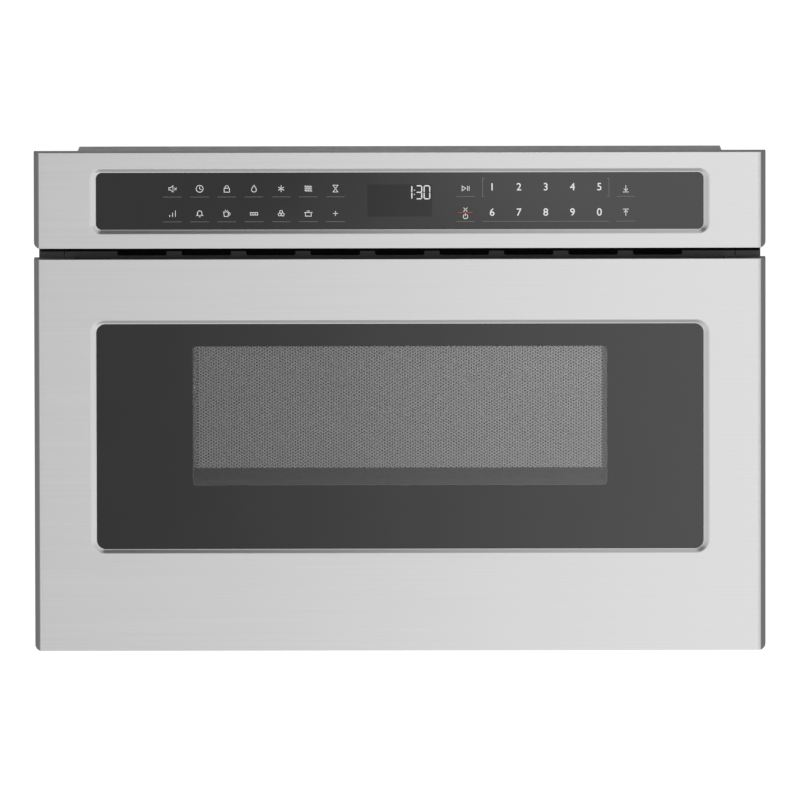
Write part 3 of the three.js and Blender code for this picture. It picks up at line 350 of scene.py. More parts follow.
# Materials by slot, and by their own name where a piece looks unlike its slot
MATERIALS = {}
MATERIALS["stainless"] = brushed_steel()
MATERIALS["clear_glass"] = glass_pane()
textured("black_glass", 0.0035, 0.005, (0.02, 0.035), scale=25, bump=0, specular=0.46)
textured(
    "galvanised", (0.5, 0.51, 0.52), (0.57, 0.58, 0.59), (0.36, 0.46), 1.0, "cells", 170, bump=0.02,
    spread=(0.0, 1.0),
)
textured("black_steel", 0.012, (0.022, 0.022, 0.021), (0.3, 0.42), scale=900, bump=0.15)
textured("cavity_paint", (0.36, 0.365, 0.37), (0.45, 0.455, 0.46), (0.3, 0.42), scale=1400, bump=0.12)
textured("dark_plastic", (0.018, 0.018, 0.019), (0.03, 0.03, 0.031), (0.42, 0.55), scale=1600, bump=0.2)
textured("pale_plastic", (0.66, 0.65, 0.61), (0.74, 0.73, 0.69), (0.42, 0.52), scale=1200, bump=0.12)
textured(
    "board_green", (0.012, 0.09, 0.035), (0.03, 0.17, 0.07), (0.3, 0.45), kind="cells", scale=420,
    spread=(0.2, 0.8),
)
textured(
    "rail_steel", (0.5, 0.505, 0.51), (0.6, 0.605, 0.61), (0.22, 0.34), 1.0, scale=1,
    stretch=(900, 8, 900), bump=0.05,
)
textured("copper", (0.33, 0.12, 0.05), (0.62, 0.3, 0.16), (0.25, 0.4), 1.0, "bands", 330, bump=0.6)
textured("core_steel", (0.09, 0.09, 0.095), (0.2, 0.2, 0.21), (0.4, 0.6), 0.8, "bands", bump=0.5)
textured("ceramic", (0.7, 0.69, 0.66), (0.8, 0.79, 0.77), (0.12, 0.2), scale=700, bump=0.04)
textured("mica", (0.42, 0.36, 0.27), (0.6, 0.54, 0.43), (0.3, 0.5), scale=160)
textured("screen_paint", 0.187, 0.226, (0.2, 0.28), 1.0, scale=700, bump=0.05)
# Dark opaque pane: painted shade for the unlit cavity behind the window screen
textured("painted_shade_pane", 0.04, 0.05, (0.1, 0.16), scale=60, bump=0, specular=0.3)
textured("reveal_black", 0.04, 0.06, (0.14, 0.2), scale=500, bump=0.03)
# Dead black with almost no sheen: painted shade for the gap under the panel and behind the vent slots
textured("painted_shade_black", 0.004, 0.008, (0.7, 0.8), scale=900, bump=0.15, specular=0.05)
textured("gloss_black", 0.010, 0.016, (0.08, 0.14), scale=500, bump=0.03)
textured("gasket_grey", 0.1, 0.13, (0.4, 0.5), scale=900)
textured("white_ink", (0.66, 0.66, 0.65), (0.74, 0.74, 0.73), (0.4, 0.5), scale=1500, bump=0)
textured("grey_ink", 0.13, 0.17, (0.4, 0.5), scale=1500, bump=0)
textured("red_ink", (0.4, 0.05, 0.04), (0.5, 0.08, 0.06), (0.4, 0.5), scale=1500, bump=0)
textured("display_film", 0.002, 0.003, (0.02, 0.04), scale=30, bump=0, specular=0.36)
textured("zinc_screw", (0.42, 0.41, 0.38), (0.58, 0.57, 0.54), (0.25, 0.4), 1.0, scale=1500)


# --- Mesh helpers ---


def linked(name, data):
    """A new object in the scene."""
    made = bpy.data.objects.new(name, data)
    bpy.context.scene.collection.objects.link(made)
    return made


def mesh_of(name, bm):
    """The mesh of a bmesh, which is freed."""
    mesh = bpy.data.meshes.new(name)
    bm.to_mesh(mesh)
    bm.free()
    return mesh


def shown_mesh(holder):
    """The mesh that an object shows. The object is removed."""
    shown = holder.evaluated_get(bpy.context.evaluated_depsgraph_get())
    mesh = bpy.data.meshes.new_from_object(shown)
    bpy.data.objects.remove(holder)
    return mesh


def modified_mesh(mesh, *modifiers):
    """The mesh after these modifiers, each a kind and its settings."""
    holder = linked("holder", mesh)
    for kind, settings in modifiers:
        modifier = holder.modifiers.new(kind, kind)
        for key, value in settings.items():
            setattr(modifier, key, value)
    return shown_mesh(holder)


def finished_mesh(name, mesh, body, slot, look=None, angle=SOFT_ANGLE):
    """A piece on its body, smooth up to an angle in degrees, with its slot's look or its own."""
    piece = linked(name, mesh)
    mesh.materials.clear()
    mesh.materials.append(MATERIALS[look or slot])
    mesh.shade_smooth()
    mesh.set_sharp_from_angle(angle=radians(angle))
    weighted = piece.modifiers.new("weighted", "WEIGHTED_NORMAL")
    weighted.keep_sharp = True
    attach(piece, body)
    return piece


def finished(name, bm, body, slot, look=None, angle=SOFT_ANGLE):
    """Turns a bmesh into a piece."""
    bmesh.ops.recalc_face_normals(bm, faces=bm.faces)
    return finished_mesh(name, mesh_of(name, bm), body, slot, look, angle)


def filleted(points, radii, steps):
    """A polyline whose inner corners are rounded. Returns (u, v) pairs."""
    result = [points[0]]
    for before, corner, after, radius in zip(points, points[1:], points[2:], radii):
        place = Vector(corner)
        arm_in = Vector(before) - place
        arm_out = Vector(after) - place
        half = arm_in.angle(arm_out) / 2
        arm_in.normalize()
        arm_out.normalize()
        run = radius / tan(half)
        start = place + arm_in * run
        end = place + arm_out * run
        middle = place + (arm_in + arm_out).normalized() * (radius / sin(half))
        turn = (start - middle).angle_signed(end - middle)
        for step in range(steps + 1):
            spoke = start - middle
            spoke.rotate(Matrix.Rotation(-turn * step / steps, 2))
            result.append(tuple(middle + spoke))
    result.append(points[-1])
    return result


def rounded_loop(width, height, radius, centre_z, steps=CORNER_STEPS):
    """Points (x, z) of a rectangle with round corners."""
    points = []
    for index, (side_x, side_z) in enumerate(((1, -1), (1, 1), (-1, 1), (-1, -1))):
        for step in range(steps + 1):
            angle = (index - 1 + step / steps) * pi / 2
            x = side_x * (width / 2 - radius) + radius * cos(angle)
            z = centre_z + side_z * (height / 2 - radius) + radius * sin(angle)
            points.append((x, z))
    return points


def box_loop(low, high, radius, inset=0):
    """Rounded outline of a box's front, drawn in by the inset."""
    width, height = high.x - low.x - 2 * inset, high.z - low.z - 2 * inset
    return rounded_loop(width, height, radius, (low.z + high.z) / 2)


def rectangle(half, low, high, centre=0):
    """Corners (x, z) from -half to half, low to high above a centre height."""
    return [(-half, centre + low), (half, centre + low), (half, centre + high), (-half, centre + high)]


def ring(bm, points, y):
    return [bm.verts.new((x, y, z)) for x, z in points]


def bridge(bm, first, second):
    count = len(first)
    for i in range(count):
        j = (i + 1) % count
        bm.faces.new((first[i], first[j], second[j], second[i]))


def bridge_all(bm, loops, closed=False):
    """Joins each loop to the next, and the last to the first if closed."""
    following = loops[1:] + loops[:1] if closed else loops[1:]
    for near, far in zip(loops, following):
        bridge(bm, near, far)


def capped(bm, loops):
    """Joins each loop to the next and closes both ends."""
    bridge_all(bm, loops)
    bm.faces.new(loops[0])
    bm.faces.new(loops[-1][::-1])


def prism(bm, points, y0, y1):
    """A closed plate with this outline, from y0 to y1."""
    capped(bm, [ring(bm, points, y) for y in (y0, y1)])


def fill_between(bm, loops, normal=(0, -1, 0)):
    """Fills a flat area between closed loops of vertices."""
    edges = []
    for loop in loops:
        for i, vert in enumerate(loop):
            other = loop[(i + 1) % len(loop)]
            edges.append(bm.edges.get((vert, other)) or bm.edges.new((vert, other)))
    bmesh.ops.triangle_fill(bm, edges=edges, use_beauty=True, normal=normal)


def pierced_plate(bm, outlines, y0, y1):
    """A plate from y0 to y1 whose first outline is its edge and the others its openings."""
    faces = []
    for y in (y0, y1):
        faces.append([ring(bm, outline, y) for outline in outlines])
        fill_between(bm, faces[-1])
    for near, far in zip(*faces):
        bridge(bm, near, far)


def refined(node, slot, width=EDGE_ROUND, look=None):
    """A CAD node with its sharp edges rounded off."""
    bm = bmesh.new()
    bm.from_mesh(frame["nodes"][node].data)
    bmesh.ops.remove_doubles(bm, verts=bm.verts, dist=WELD_REACH)
    bmesh.ops.dissolve_limit(bm, angle_limit=radians(FLAT_ANGLE), verts=bm.verts, edges=bm.edges)
    settings = {"width": width, "segments": ROUND_STEPS, "angle_limit": radians(ROUND_ANGLE)}
    rounded = modified_mesh(mesh_of(node, bm), ("BEVEL", settings))
    piece = finished_mesh(node + "_soft", rounded, frame["nodes"][node]["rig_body"], slot, look)
    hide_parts(node)


# --- Stainless skins ---


def eased(share):
    """A slope from 0 to 1 with soft bends at both ends."""
    slope = 1 / (1 - RECESS_BEND)
    if share < RECESS_BEND:
        return slope * share * share / (2 * RECESS_BEND)
    if share > 1 - RECESS_BEND:
        return 1 - slope * (1 - share) ** 2 / (2 * RECESS_BEND)
    return slope * (share - RECESS_BEND / 2)


def skin_columns(side, face, back, flat_stops):
    """Plan of the skin from the left fold to the right, as (x, y) columns."""
    corner = filleted(
        [(side, back), (side, face + SIDE_BEVEL_DEPTH), (side - SIDE_BEVEL_WIDTH, face), (0, face)],
        [SIDE_BEND_RADIUS, FRONT_BEND_RADIUS],
        BEND_STEPS,
    )[1:-1]
    right = [(side, back), (side, face + LIP_DEPTH + LIP_MARGIN)]
    for (x0, y0), (x1, y1) in zip(corner, corner[1:]):
        count = max(1, round(hypot(x1 - x0, y1 - y0) / STRIP_WIDTH))
        right += [(x0 + (x1 - x0) * k / count, y0 + (y1 - y0) * k / count) for k in range(count)]
    right.append(corner[-1])
    left = [(-x, y) for x, y in right]
    flat = [(x, face) for x in flat_stops]
    return left + flat + right[::-1]


def fold(bm, crease, row, depth_at, steps_back):
    """Turns a row of vertices back into a fold, strip by strip, as deep as depth_at says."""
    rows = [row]
    for depth in steps_back:
        rows.append([
            vert if vert.co.y >= depth - NEAR else bm.verts.new((vert.co.x, depth, vert.co.z))
            for vert in row
        ])
    wide = [i for i in range(len(row) - 1) if abs(row[i].co.x - row[i + 1].co.x) > NEAR]
    for depth, near, far in zip(steps_back, rows, rows[1:]):
        for i in wide:
            if depth > depth_at((row[i].co.x + row[i + 1].co.x) / 2) + NEAR:
                continue
            corners = list(dict.fromkeys((near[i], near[i + 1], far[i + 1], far[i])))
            if len(corners) > 2:
                bm.faces.new(corners)
    for i in wide:
        bm.edges.get((row[i], row[i + 1]))[crease] = 1


def front_skin(name, node, glass_node, glass_radius, full_top, notches):
    """A folded skin with a pressed recess round its glass. Notches are centres and half widths."""
    low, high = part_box(node)
    glass_low, glass_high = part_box(glass_node)
    side, face, back, bottom, top = high.x, low.y, high.y, low.z, high.z
    border = side - SIDE_BEVEL_WIDTH - FACE_BORDER
    stops = [-border, border] + [c + s * h for c, h in notches for s in (-1, 1)]
    stops = sorted(stops + ([] if full_top else [-EAR_START - EAR_MARGIN, EAR_START + EAR_MARGIN]))
    columns = skin_columns(side, face, back, stops)
    bm = bmesh.new()
    crease = bm.edges.layers.float.new("bevel_weight_edge")

    def low_edge(x):
        over = abs(x) - (side - CORNER_RADIUS)
        if over <= 0:
            return bottom
        return bottom + CORNER_RADIUS - sqrt(max(0, CORNER_RADIUS**2 - over**2))

    def top_depth(x):
        if any(abs(x - centre) < half for centre, half in notches):
            return face + NOTCH_DEPTH
        return back if full_top or abs(x) > EAR_START else face + LIP_DEPTH

    levels = [[bm.verts.new((x, y, low_edge(x))) for x, y in columns]]
    for z in (bottom + FACE_BORDER, top - FACE_BORDER, top):
        levels.append([bm.verts.new((x, y, z)) for x, y in columns])
    first = columns.index((-border, face))
    last = columns.index((border, face))
    for lower, upper in zip(levels, levels[1:]):
        for i in range(len(columns) - 1):
            if lower is levels[1] and first <= i < last:
                continue
            bm.faces.new((lower[i], lower[i + 1], upper[i + 1], upper[i]))
    fold(bm, crease, levels[3], top_depth, [face + NOTCH_DEPTH, face + LIP_DEPTH, back])
    fold(bm, crease, levels[0], lambda x: face + LIP_DEPTH, [face + LIP_DEPTH])

    loops = []
    for step in range(RECESS_STEPS + 1):
        share = step / RECESS_STEPS
        width = glass_high.x - glass_low.x - 2 * GLASS_LAP + 2 * RECESS_SIDE_SLOPE * (1 - share)
        height = glass_high.z - glass_low.z - 2 * GLASS_LAP + 2 * RECESS_TOP_SLOPE * (1 - share)
        radius = glass_radius + RECESS_TOP_SLOPE * (1 - share)
        outline = rounded_loop(width, height, radius, (glass_low.z + glass_high.z) / 2)
        loops.append(ring(bm, outline, face + RECESS_DEPTH * eased(share)))
    bridge_all(bm, loops)
    inner = levels[1][first:last + 1] + levels[2][first:last + 1][::-1]
    fill_between(bm, [inner, loops[0]])
    bmesh.ops.recalc_face_normals(bm, faces=bm.faces)
    front_face = max(bm.faces, key=lambda f: f.calc_area())
    if front_face.normal.y > 0:
        bmesh.ops.reverse_faces(bm, faces=bm.faces)
    sheet = modified_mesh(
        mesh_of(name, bm),
        ("BEVEL", {"width": EDGE_RADIUS, "segments": EDGE_STEPS, "limit_method": "WEIGHT"}),
        ("SOLIDIFY", {"thickness": SKIN_SHEET, "offset": -1.0}),
    )
    for vert in sheet.vertices:
        vert.co.x = max(-side, min(side, vert.co.x))
        vert.co.y = min(back, vert.co.y)
    body = frame["nodes"][node]["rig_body"]
    piece = finished_mesh(name, sheet, body, "stainless", angle=SKIN_ANGLE)
    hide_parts(node)


def build_skins():
    front_skin("drawer_skin", "drawer_front_skin", "drawer_glass", DRAWER_GLASS_RADIUS, False, NOTCHES)
    front_skin("control_skin", "control_panel_skin", "control_glass", CONTROL_GLASS_RADIUS, True, ())


# --- Window and air outlet ---


def window_box():
    """Clear opening of the viewing window: half width, bottom and top."""
    low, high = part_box("perforated_screen")
    return high.x - SCREEN_LAP, low.z + SCREEN_LAP, high.z - SCREEN_LAP


def window_loop(inset=0):
    """Outline of the clear opening, drawn in by the inset."""
    half, bottom, top = window_box()
    width, height = 2 * (half - inset), top - bottom - 2 * inset
    return rounded_loop(width, height, WINDOW_RADIUS - inset, (top + bottom) / 2)


def build_drawer_glass():
    low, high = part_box("drawer_glass")
    outline = box_loop(low, high, DRAWER_GLASS_RADIUS + GLASS_LAP)
    bm = bmesh.new()
    pierced_plate(bm, [outline, window_loop()], low.y, high.y)
    border = finished("drawer_glass_border", bm, "drawer", "black_glass")
    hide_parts("drawer_glass")
    bm = bmesh.new()
    prism(bm, window_loop(), low.y, low.y + PANE_SHEET)
    finished("drawer_glass_window", bm, "drawer", "clear_glass")


def build_screen():
    """Perforated sheet: hexagon cells on a staggered grid, each with a hexagon hole."""
    low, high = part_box("perforated_screen")
    half, bottom, top = window_box()
    centre_z = (bottom + top) / 2
    columns = int(2 * half / HOLE_COLUMN_PITCH / 2) + 1
    rows = int((top - bottom) / HOLE_ROW_PITCH / 2) + 1
    reach = HOLE_COLUMN_PITCH * 2 / 3
    rise = HOLE_ROW_PITCH / 2
    cell = [(reach, 0), (reach / 2, rise), (-reach / 2, rise)]
    cell += [(-u, -v) for u, v in cell]
    hole = [(HOLE_RADIUS * cos(k * pi / 3), HOLE_RADIUS * sin(k * pi / 3)) for k in range(6)]
    bm = bmesh.new()
    shared = {}

    def corner(x, z):
        key = (round(x / MM * WELDS_PER_MM), round(z / MM * WELDS_PER_MM))
        if key not in shared:
            shared[key] = bm.verts.new((x, low.y, z))
        return shared[key]

    for column in range(-columns, columns + 1):
        x = column * HOLE_COLUMN_PITCH
        stagger = rise if column % 2 else 0
        for row in range(-rows, rows + 1):
            z = centre_z + row * HOLE_ROW_PITCH + stagger
            if abs(x) > half + HOLE_MARGIN or not bottom - HOLE_MARGIN < z < top + HOLE_MARGIN:
                continue
            outer = [corner(x + u, z + v) for u, v in cell]
            front = [bm.verts.new((x + u, low.y, z + v)) for u, v in hole]
            back = [bm.verts.new((x + u, high.y, z + v)) for u, v in hole]
            bridge(bm, outer, front)
            bridge(bm, front, back)
    screen = finished("screen_mesh", bm, "drawer", "black_steel", "screen_paint", SCREEN_ANGLE)
    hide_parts("perforated_screen")


def build_window_trim():
    """Grey gasket between the glass and the window tunnel."""
    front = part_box("window_tunnel")[0].y
    back = front + GASKET_DEPTH
    outer, inner = window_loop(), window_loop(GASKET_SHEET)
    bm = bmesh.new()
    sides = ((outer, front), (inner, front), (inner, back), (outer, back))
    bridge_all(bm, [ring(bm, outline, y) for outline, y in sides], closed=True)
    finished("window_gasket", bm, "drawer", "black_steel", "gasket_grey")


def build_window_reveal():
    """Tapered lining of the window tunnel, with a sloped sill below the screen."""
    half, bottom, top = window_box()
    low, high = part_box("window_tunnel")
    play = GASKET_SHEET + REVEAL_PLAY
    drafted = play + REVEAL_DRAFT

    def outline(side, sill, head):
        radius = max(WINDOW_RADIUS - side, REVEAL_RADIUS)
        centre = (bottom + sill + top - head) / 2
        return rounded_loop(2 * (half - side), top - head - bottom - sill, radius, centre, REVEAL_STEPS)

    outer = outline(play, play, play)
    bm = bmesh.new()
    sides = (
        (outer, low.y),
        (outline(drafted, play + REVEAL_STRIP, drafted), low.y + REVEAL_STRIP_DEPTH),
        (outline(play + REVEAL_SIDE, play + REVEAL_SILL, drafted), high.y),
        (outer, high.y),
    )
    bridge_all(bm, [ring(bm, loop, y) for loop, y in sides], closed=True)
    finished("window_reveal", bm, "drawer", "black_steel", "reveal_black")


def build_vent_grille():
    """The air outlet's grille: a bar splits each slot in two, and a black sheet behind them is painted shade
    for the dark inside.
    """
    low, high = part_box("vent_grille")
    outlines = [
        rounded_loop(2 * GRILLE_HALF, high.z - low.z, GRILLE_RADIUS, (low.z + high.z) / 2, SMALL_STEPS)
    ]
    for count in range(VENT_SLOTS):
        middle = (count - (VENT_SLOTS - 1) / 2) * VENT_PITCH
        for foot, head in ((VENT_FOOT, VENT_BAR_FOOT), (VENT_BAR_TOP, VENT_TOP)):
            slot = rounded_loop(VENT_WIDTH, head - foot, VENT_RADIUS, (foot + head) / 2, VENT_STEPS)
            outlines.append([(x + middle, z) for x, z in slot])
    bm = bmesh.new()
    pierced_plate(bm, outlines, low.y, high.y)
    grille = finished("grille_face", bm, "chassis", "black_steel")
    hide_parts("vent_grille")
    # Black sheet behind the slots: painted shade for the dark inside
    bm = bmesh.new()
    reach = VENT_PITCH * VENT_SLOTS / 2
    shade_sheet_outline = rectangle(reach, VENT_FOOT - SHADE_SHEET_MARGIN, VENT_TOP + SHADE_SHEET_MARGIN)
    prism(bm, shade_sheet_outline, high.y + SHADE_SHEET_GAP, high.y + SHADE_SHEET_BACK)
    finished("grille_shade_sheet", bm, "chassis", "black_steel", "painted_shade_black")


def build_panel_shade_strip():
    """Black strip along the control panel's lower back edge: painted shade for the dark gap under the panel.
    """
    low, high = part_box("control_panel_skin")
    width = 2 * (high.x - SHADE_STRIP_INSET)
    outline = rounded_loop(width, SHADE_STRIP_HEIGHT, SHADE_STRIP_RADIUS, low.z - SHADE_STRIP_HEIGHT / 2, SMALL_STEPS)
    bm = bmesh.new()
    prism(bm, outline, high.y - SHADE_STRIP_DEPTH, high.y)
    finished("panel_shade_strip", bm, "chassis", "black_steel", "painted_shade_black")


# --- Print on the control glass ---


def ribbon(bm, points, width, face):
    """A printed stroke along points (x, z), with its back on the face."""
    closed = points[0] == points[-1] and len(points) > 2
    path = [Vector(p) for p in (points[:-1] if closed else points)]
    count = len(path)
    front = face - INK_SHEET
    rows = []
    for i, here in enumerate(path):
        run_in = (here - path[i - 1]).normalized() if closed or i > 0 else None
        run_out = (path[(i + 1) % count] - here).normalized() if closed or i < count - 1 else None
        run = (run_in or run_out) + (run_out or run_in)
        run = run.normalized() if run.length > NEAR else run_out
        stretch = 1 / max(MITRE_LIMIT, run.dot(run_out or run_in))
        reach = Vector((-run.y, run.x)) * width / 2 * stretch
        left, right = here + reach, here - reach
        corners = ((left, front), (right, front), (right, face), (left, face))
        rows.append([bm.verts.new((place.x, y, place.y)) for place, y in corners])
    if closed:
        bridge_all(bm, rows, True)
    else:
        capped(bm, rows)


def arc(x, z, radius, start=0, end=360, steps=14):
    """Points on a circle between two angles in degrees."""
    turns = [radians(start + (end - start) * k / steps) for k in range(steps + 1)]
    points = [(x + radius * cos(t), z + radius * sin(t)) for t in turns]
    if abs(end - start) == 360:
        points[-1] = points[0]
    return points


def wave(z):
    return [(-3 + 0.5 * k, z + 0.6 * sin(k * pi / 2)) for k in range(13)]


# Key symbols: strokes in millimetres round the key's centre.
SYMBOLS = {
    "speaker": [[(-3, 1), (-1.4, 1), (0.4, 2.6), (0.4, -2.6), (-1.4, -1), (-3, -1), (-3, 1)],
        [(1.6, 1), (3.4, -1)], [(1.6, -1), (3.4, 1)]],
    "clock": [arc(0, 0, 2.9), [(0, 1.9), (0, 0), (1.5, -0.8)]],
    "padlock": [[(-2.2, 0.4), (2.2, 0.4), (2.2, -2.8), (-2.2, -2.8), (-2.2, 0.4)],
        [(-1.4, 0.4), (-1.4, 1.2)] + arc(0, 1.2, 1.4, 180, 0, 8) + [(1.4, 0.4)]],
    "drop": [[(0, 3)] + arc(0, -0.8, 2, 30, -210, 12) + [(0, 3)]],
    "snow": [[(2.8 * cos(a), 2.8 * sin(a)), (-2.8 * cos(a), -2.8 * sin(a))]
        for a in (pi / 2, pi / 6, -pi / 6)],
    "waves": [wave(1.7), wave(0), wave(-1.7)],
    "hourglass": [[(-2, 2.8), (2, 2.8), (-2, -2.8), (2, -2.8), (-2, 2.8)]],
    "steps": [[(-2.4, -2.6), (-2.4, -1)], [(0, -2.6), (0, 0.8)], [(2.4, -2.6), (2.4, 2.6)]],
    "bell": [[(-2.6, -1.6), (-1.8, -0.8), (-1.8, 0.6)] + arc(0, 0.6, 1.8, 180, 0, 8)
        + [(1.8, -0.8), (2.6, -1.6), (-2.6, -1.6)], [(-0.7, -2.6), (0.7, -2.6)]],
    "cup": [[(-2.6, 1.4), (-2.2, -2.4), (1, -2.4), (1.4, 1.4), (-2.6, 1.4)],
        arc(1.5, -0.3, 1.2, 80, -80, 8), [(-1.4, 2.2), (-1.1, 3)], [(0.1, 2.2), (0.4, 3)]],
    "stick": [[(-3, -1.2), (-3, 0.8), (3, 0.8), (3, -1.2), (-3, -1.2)],
        [(-1, 0.8), (-1, -1.2)], [(1, 0.8), (1, -1.2)]],
    "kernels": [arc(-1.3, -0.8, 1.2), arc(1.3, -0.8, 1.2), arc(0, 1.4, 1.2)],
    "pot": [[(-2.4, 0.8), (-2.4, -2.2), (2.4, -2.2), (2.4, 0.8)], [(-3.4, 0.8), (3.4, 0.8)],
        [(-1.2, 2), (1.2, 2)]],
    "plus": [[(-2, 0), (2, 0)], [(0, -2), (0, 2)]],
    "start": [[(-2.8, 2), (-2.8, -2), (0.2, 0), (-2.8, 2)], [(1.6, 2), (1.6, -2)], [(3, 2), (3, -2)]],
    "cross": [[(-1.6, 1.6), (1.6, -1.6)], [(-1.6, -1.6), (1.6, 1.6)]],
    "power": [arc(0, 0, 1.9, 120, 420, 14), [(0, 2.6), (0, 0.4)]],
    "down": [[(0, 2.4), (0, -2)], [(-1.6, -0.6), (0, -2.2), (1.6, -0.6)], [(-2.4, -3.2), (2.4, -3.2)]],
    "up": [[(0, -2.4), (0, 2)], [(-1.6, 0.6), (0, 2.2), (1.6, 0.6)], [(-2.4, 3.2), (2.4, 3.2)]],
}
TOP_KEYS = ["speaker", "clock", "padlock", "drop", "snow", "waves", "hourglass"]
BOTTOM_KEYS = ["steps", "bell", "cup", "stick", "kernels", "pot", "plus"]

# Places on the control glass, in millimetres from its centre
KEY_LEFT = -188.0
KEY_PITCH = 22.48
TOP_ROW = 10.2
BOTTOM_ROW = -10.4
TOP_LINE = 3.4
BOTTOM_LINE = -17.2
KEY_LINE_HALF = 7.7
START_X = 54.5
CROSS_LIFT = 3
POWER_LIFT = -2.7
DIGIT_LEFT = 76.5
DIGIT_PITCH = 22.2
DIGIT_SIZE = 6.6
DIGIT_FONT_SHARE = 1.32
DIGIT_TOP_LIFT = 0.9
DIGIT_BOTTOM_LIFT = 0.5
BRACKET_X = (68.7, 173.2)
BRACKET_TOP = 18.5
BRACKET_FOOT = 1.8
OPEN_X = 187.2
RED_LINE_Z = -9.8
RED_LINE_HALF = 6.1
DISPLAY_SIZE = (26.8, -13.1, 13.6)

# Digits of the display, in millimetres
SEGMENT_HEIGHT = 10.8
SEGMENT_WIDTH = 4.6
SEGMENT_STROKE = 0.9
SEGMENT_GAP = 0.35
TIME_RIGHT = 22.6
TIME_Z = 7.0
TIME_PITCH = 6.6
HOUR_SHIFT = 1.6
COLON_SHIFT = 0.4
COLON_RISE = 1.8
COLON_HALF = 0.4
COLON_STROKE = 0.8

# The time from right to left, and which of the seven strokes each numeral lights: top, upper left,
# upper right, middle, lower left, lower right, bottom
TIME = "031"
SEGMENTS = {"1": "0010010", "0": "1110111", "3": "1011011"}


def glass_centre():
    """Front of the control glass and the height of its centre."""
    low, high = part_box("control_glass")
    return low.y, (low.z + high.z) / 2


def placed(stroke, x, z, centre_z):
    """A stroke in millimetres round a place on the glass, in metres."""
    return [((x + u) * MM, centre_z + (z + v) * MM) for u, v in stroke]


def build_key_symbols():
    face, centre = glass_centre()
    keys = [
        (KEY_LEFT + KEY_PITCH * k, row, name)
        for row, names in ((TOP_ROW, TOP_KEYS), (BOTTOM_ROW, BOTTOM_KEYS))
        for k, name in enumerate(names)
    ]
    keys += [(START_X, TOP_ROW, "start"), (OPEN_X, TOP_ROW, "down"), (OPEN_X, BOTTOM_ROW, "up")]
    keys += [(START_X, BOTTOM_ROW + CROSS_LIFT, "cross"), (START_X, BOTTOM_ROW + POWER_LIFT, "power")]
    bm = bmesh.new()
    for x, z, name in keys:
        for stroke in SYMBOLS[name]:
            ribbon(bm, placed(stroke, x, z, centre), STROKE, face)
    finished("key_symbols", bm, "chassis", "black_glass", "white_ink")


def build_key_lines():
    face, centre = glass_centre()
    middles = [KEY_LEFT + KEY_PITCH * k for k in range(len(TOP_KEYS))] + [START_X, OPEN_X]
    left, right = BRACKET_X
    lines = [
        [(x - KEY_LINE_HALF, z), (x + KEY_LINE_HALF, z)] for x in middles for z in (TOP_LINE, BOTTOM_LINE)
    ]
    for x, foot in ((left, left + BRACKET_FOOT), (right, right - BRACKET_FOOT)):
        lines.append([(foot, BRACKET_TOP), (x, BRACKET_TOP), (x, TOP_LINE), (foot, TOP_LINE)])
    lines.append([(left, BOTTOM_LINE), (right, BOTTOM_LINE)])
    red_line = [(START_X - RED_LINE_HALF, RED_LINE_Z), (START_X + RED_LINE_HALF, RED_LINE_Z)]
    for name, strokes, look in (("key_lines", lines, "grey_ink"), ("key_red_line", [red_line], "red_ink")):
        bm = bmesh.new()
        for stroke in strokes:
            ribbon(bm, placed(stroke, 0, 0, centre), FINE_STROKE, face)
        finished(name, bm, "chassis", "black_glass", look)


def numeral_mesh(text):
    """Filled outline of a numeral, lying in the XY plane round its own centre."""
    curve = bpy.data.curves.new("numeral", "FONT")
    curve.body = text
    curve.size = DIGIT_SIZE * DIGIT_FONT_SHARE * MM
    curve.align_x = "CENTER"
    curve.align_y = "CENTER"
    curve.extrude = INK_SHEET / 2
    curve.offset = NUMERAL_WEIGHT
    return shown_mesh(linked("numeral", curve))


def build_numerals():
    face, centre = glass_centre()
    bm = bmesh.new()
    rows = ((TOP_ROW + DIGIT_TOP_LIFT, "12345"), (BOTTOM_ROW + DIGIT_BOTTOM_LIFT, "67890"))
    for z, texts in rows:
        for k, text in enumerate(texts):
            mesh = numeral_mesh(text)
            x = DIGIT_LEFT + DIGIT_PITCH * k
            place = Matrix.Translation((x * MM, face - INK_SHEET / 2, centre + z * MM))
            mesh.transform(place @ Matrix.Rotation(pi / 2, 4, "X"))
            bm.from_mesh(mesh)
    finished("key_numerals", bm, "chassis", "black_glass", "white_ink")


def build_display():
    face, centre = glass_centre()
    bm = bmesh.new()
    outline = rectangle(*(size * MM for size in DISPLAY_SIZE), centre)
    prism(bm, outline, face - FILM_SHEET, face)
    finished("display_window", bm, "chassis", "black_glass", "display_film")
    half, rise = SEGMENT_WIDTH / 2, SEGMENT_HEIGHT / 2
    short, tall = half - SEGMENT_GAP, rise - SEGMENT_GAP
    level = [[(-short, z), (short, z)] for z in (rise, 0, -rise)]
    upper = [[(x, tall), (x, SEGMENT_GAP)] for x in (-half, half)]
    lower = [[(x, -SEGMENT_GAP), (x, -tall)] for x in (-half, half)]
    strokes = [level[0], *upper, level[1], *lower, level[2]]
    bm = bmesh.new()
    for place, text in enumerate(TIME):
        x = TIME_RIGHT - TIME_PITCH * place - (HOUR_SHIFT if place == 2 else 0)
        for lit, stroke in zip(SEGMENTS[text], strokes):
            if lit == "1":
                ribbon(bm, placed(stroke, x, TIME_Z, centre), SEGMENT_STROKE * MM, face)
    colon = TIME_RIGHT - 1.5 * TIME_PITCH - COLON_SHIFT
    for z in (-COLON_RISE, COLON_RISE):
        dot = [(-COLON_HALF, z), (COLON_HALF, z)]
        ribbon(bm, placed(dot, colon, TIME_Z, centre), COLON_STROKE * MM, face)
    finished("display_time", bm, "chassis", "black_glass", "white_ink")


# --- Drawer inside ---


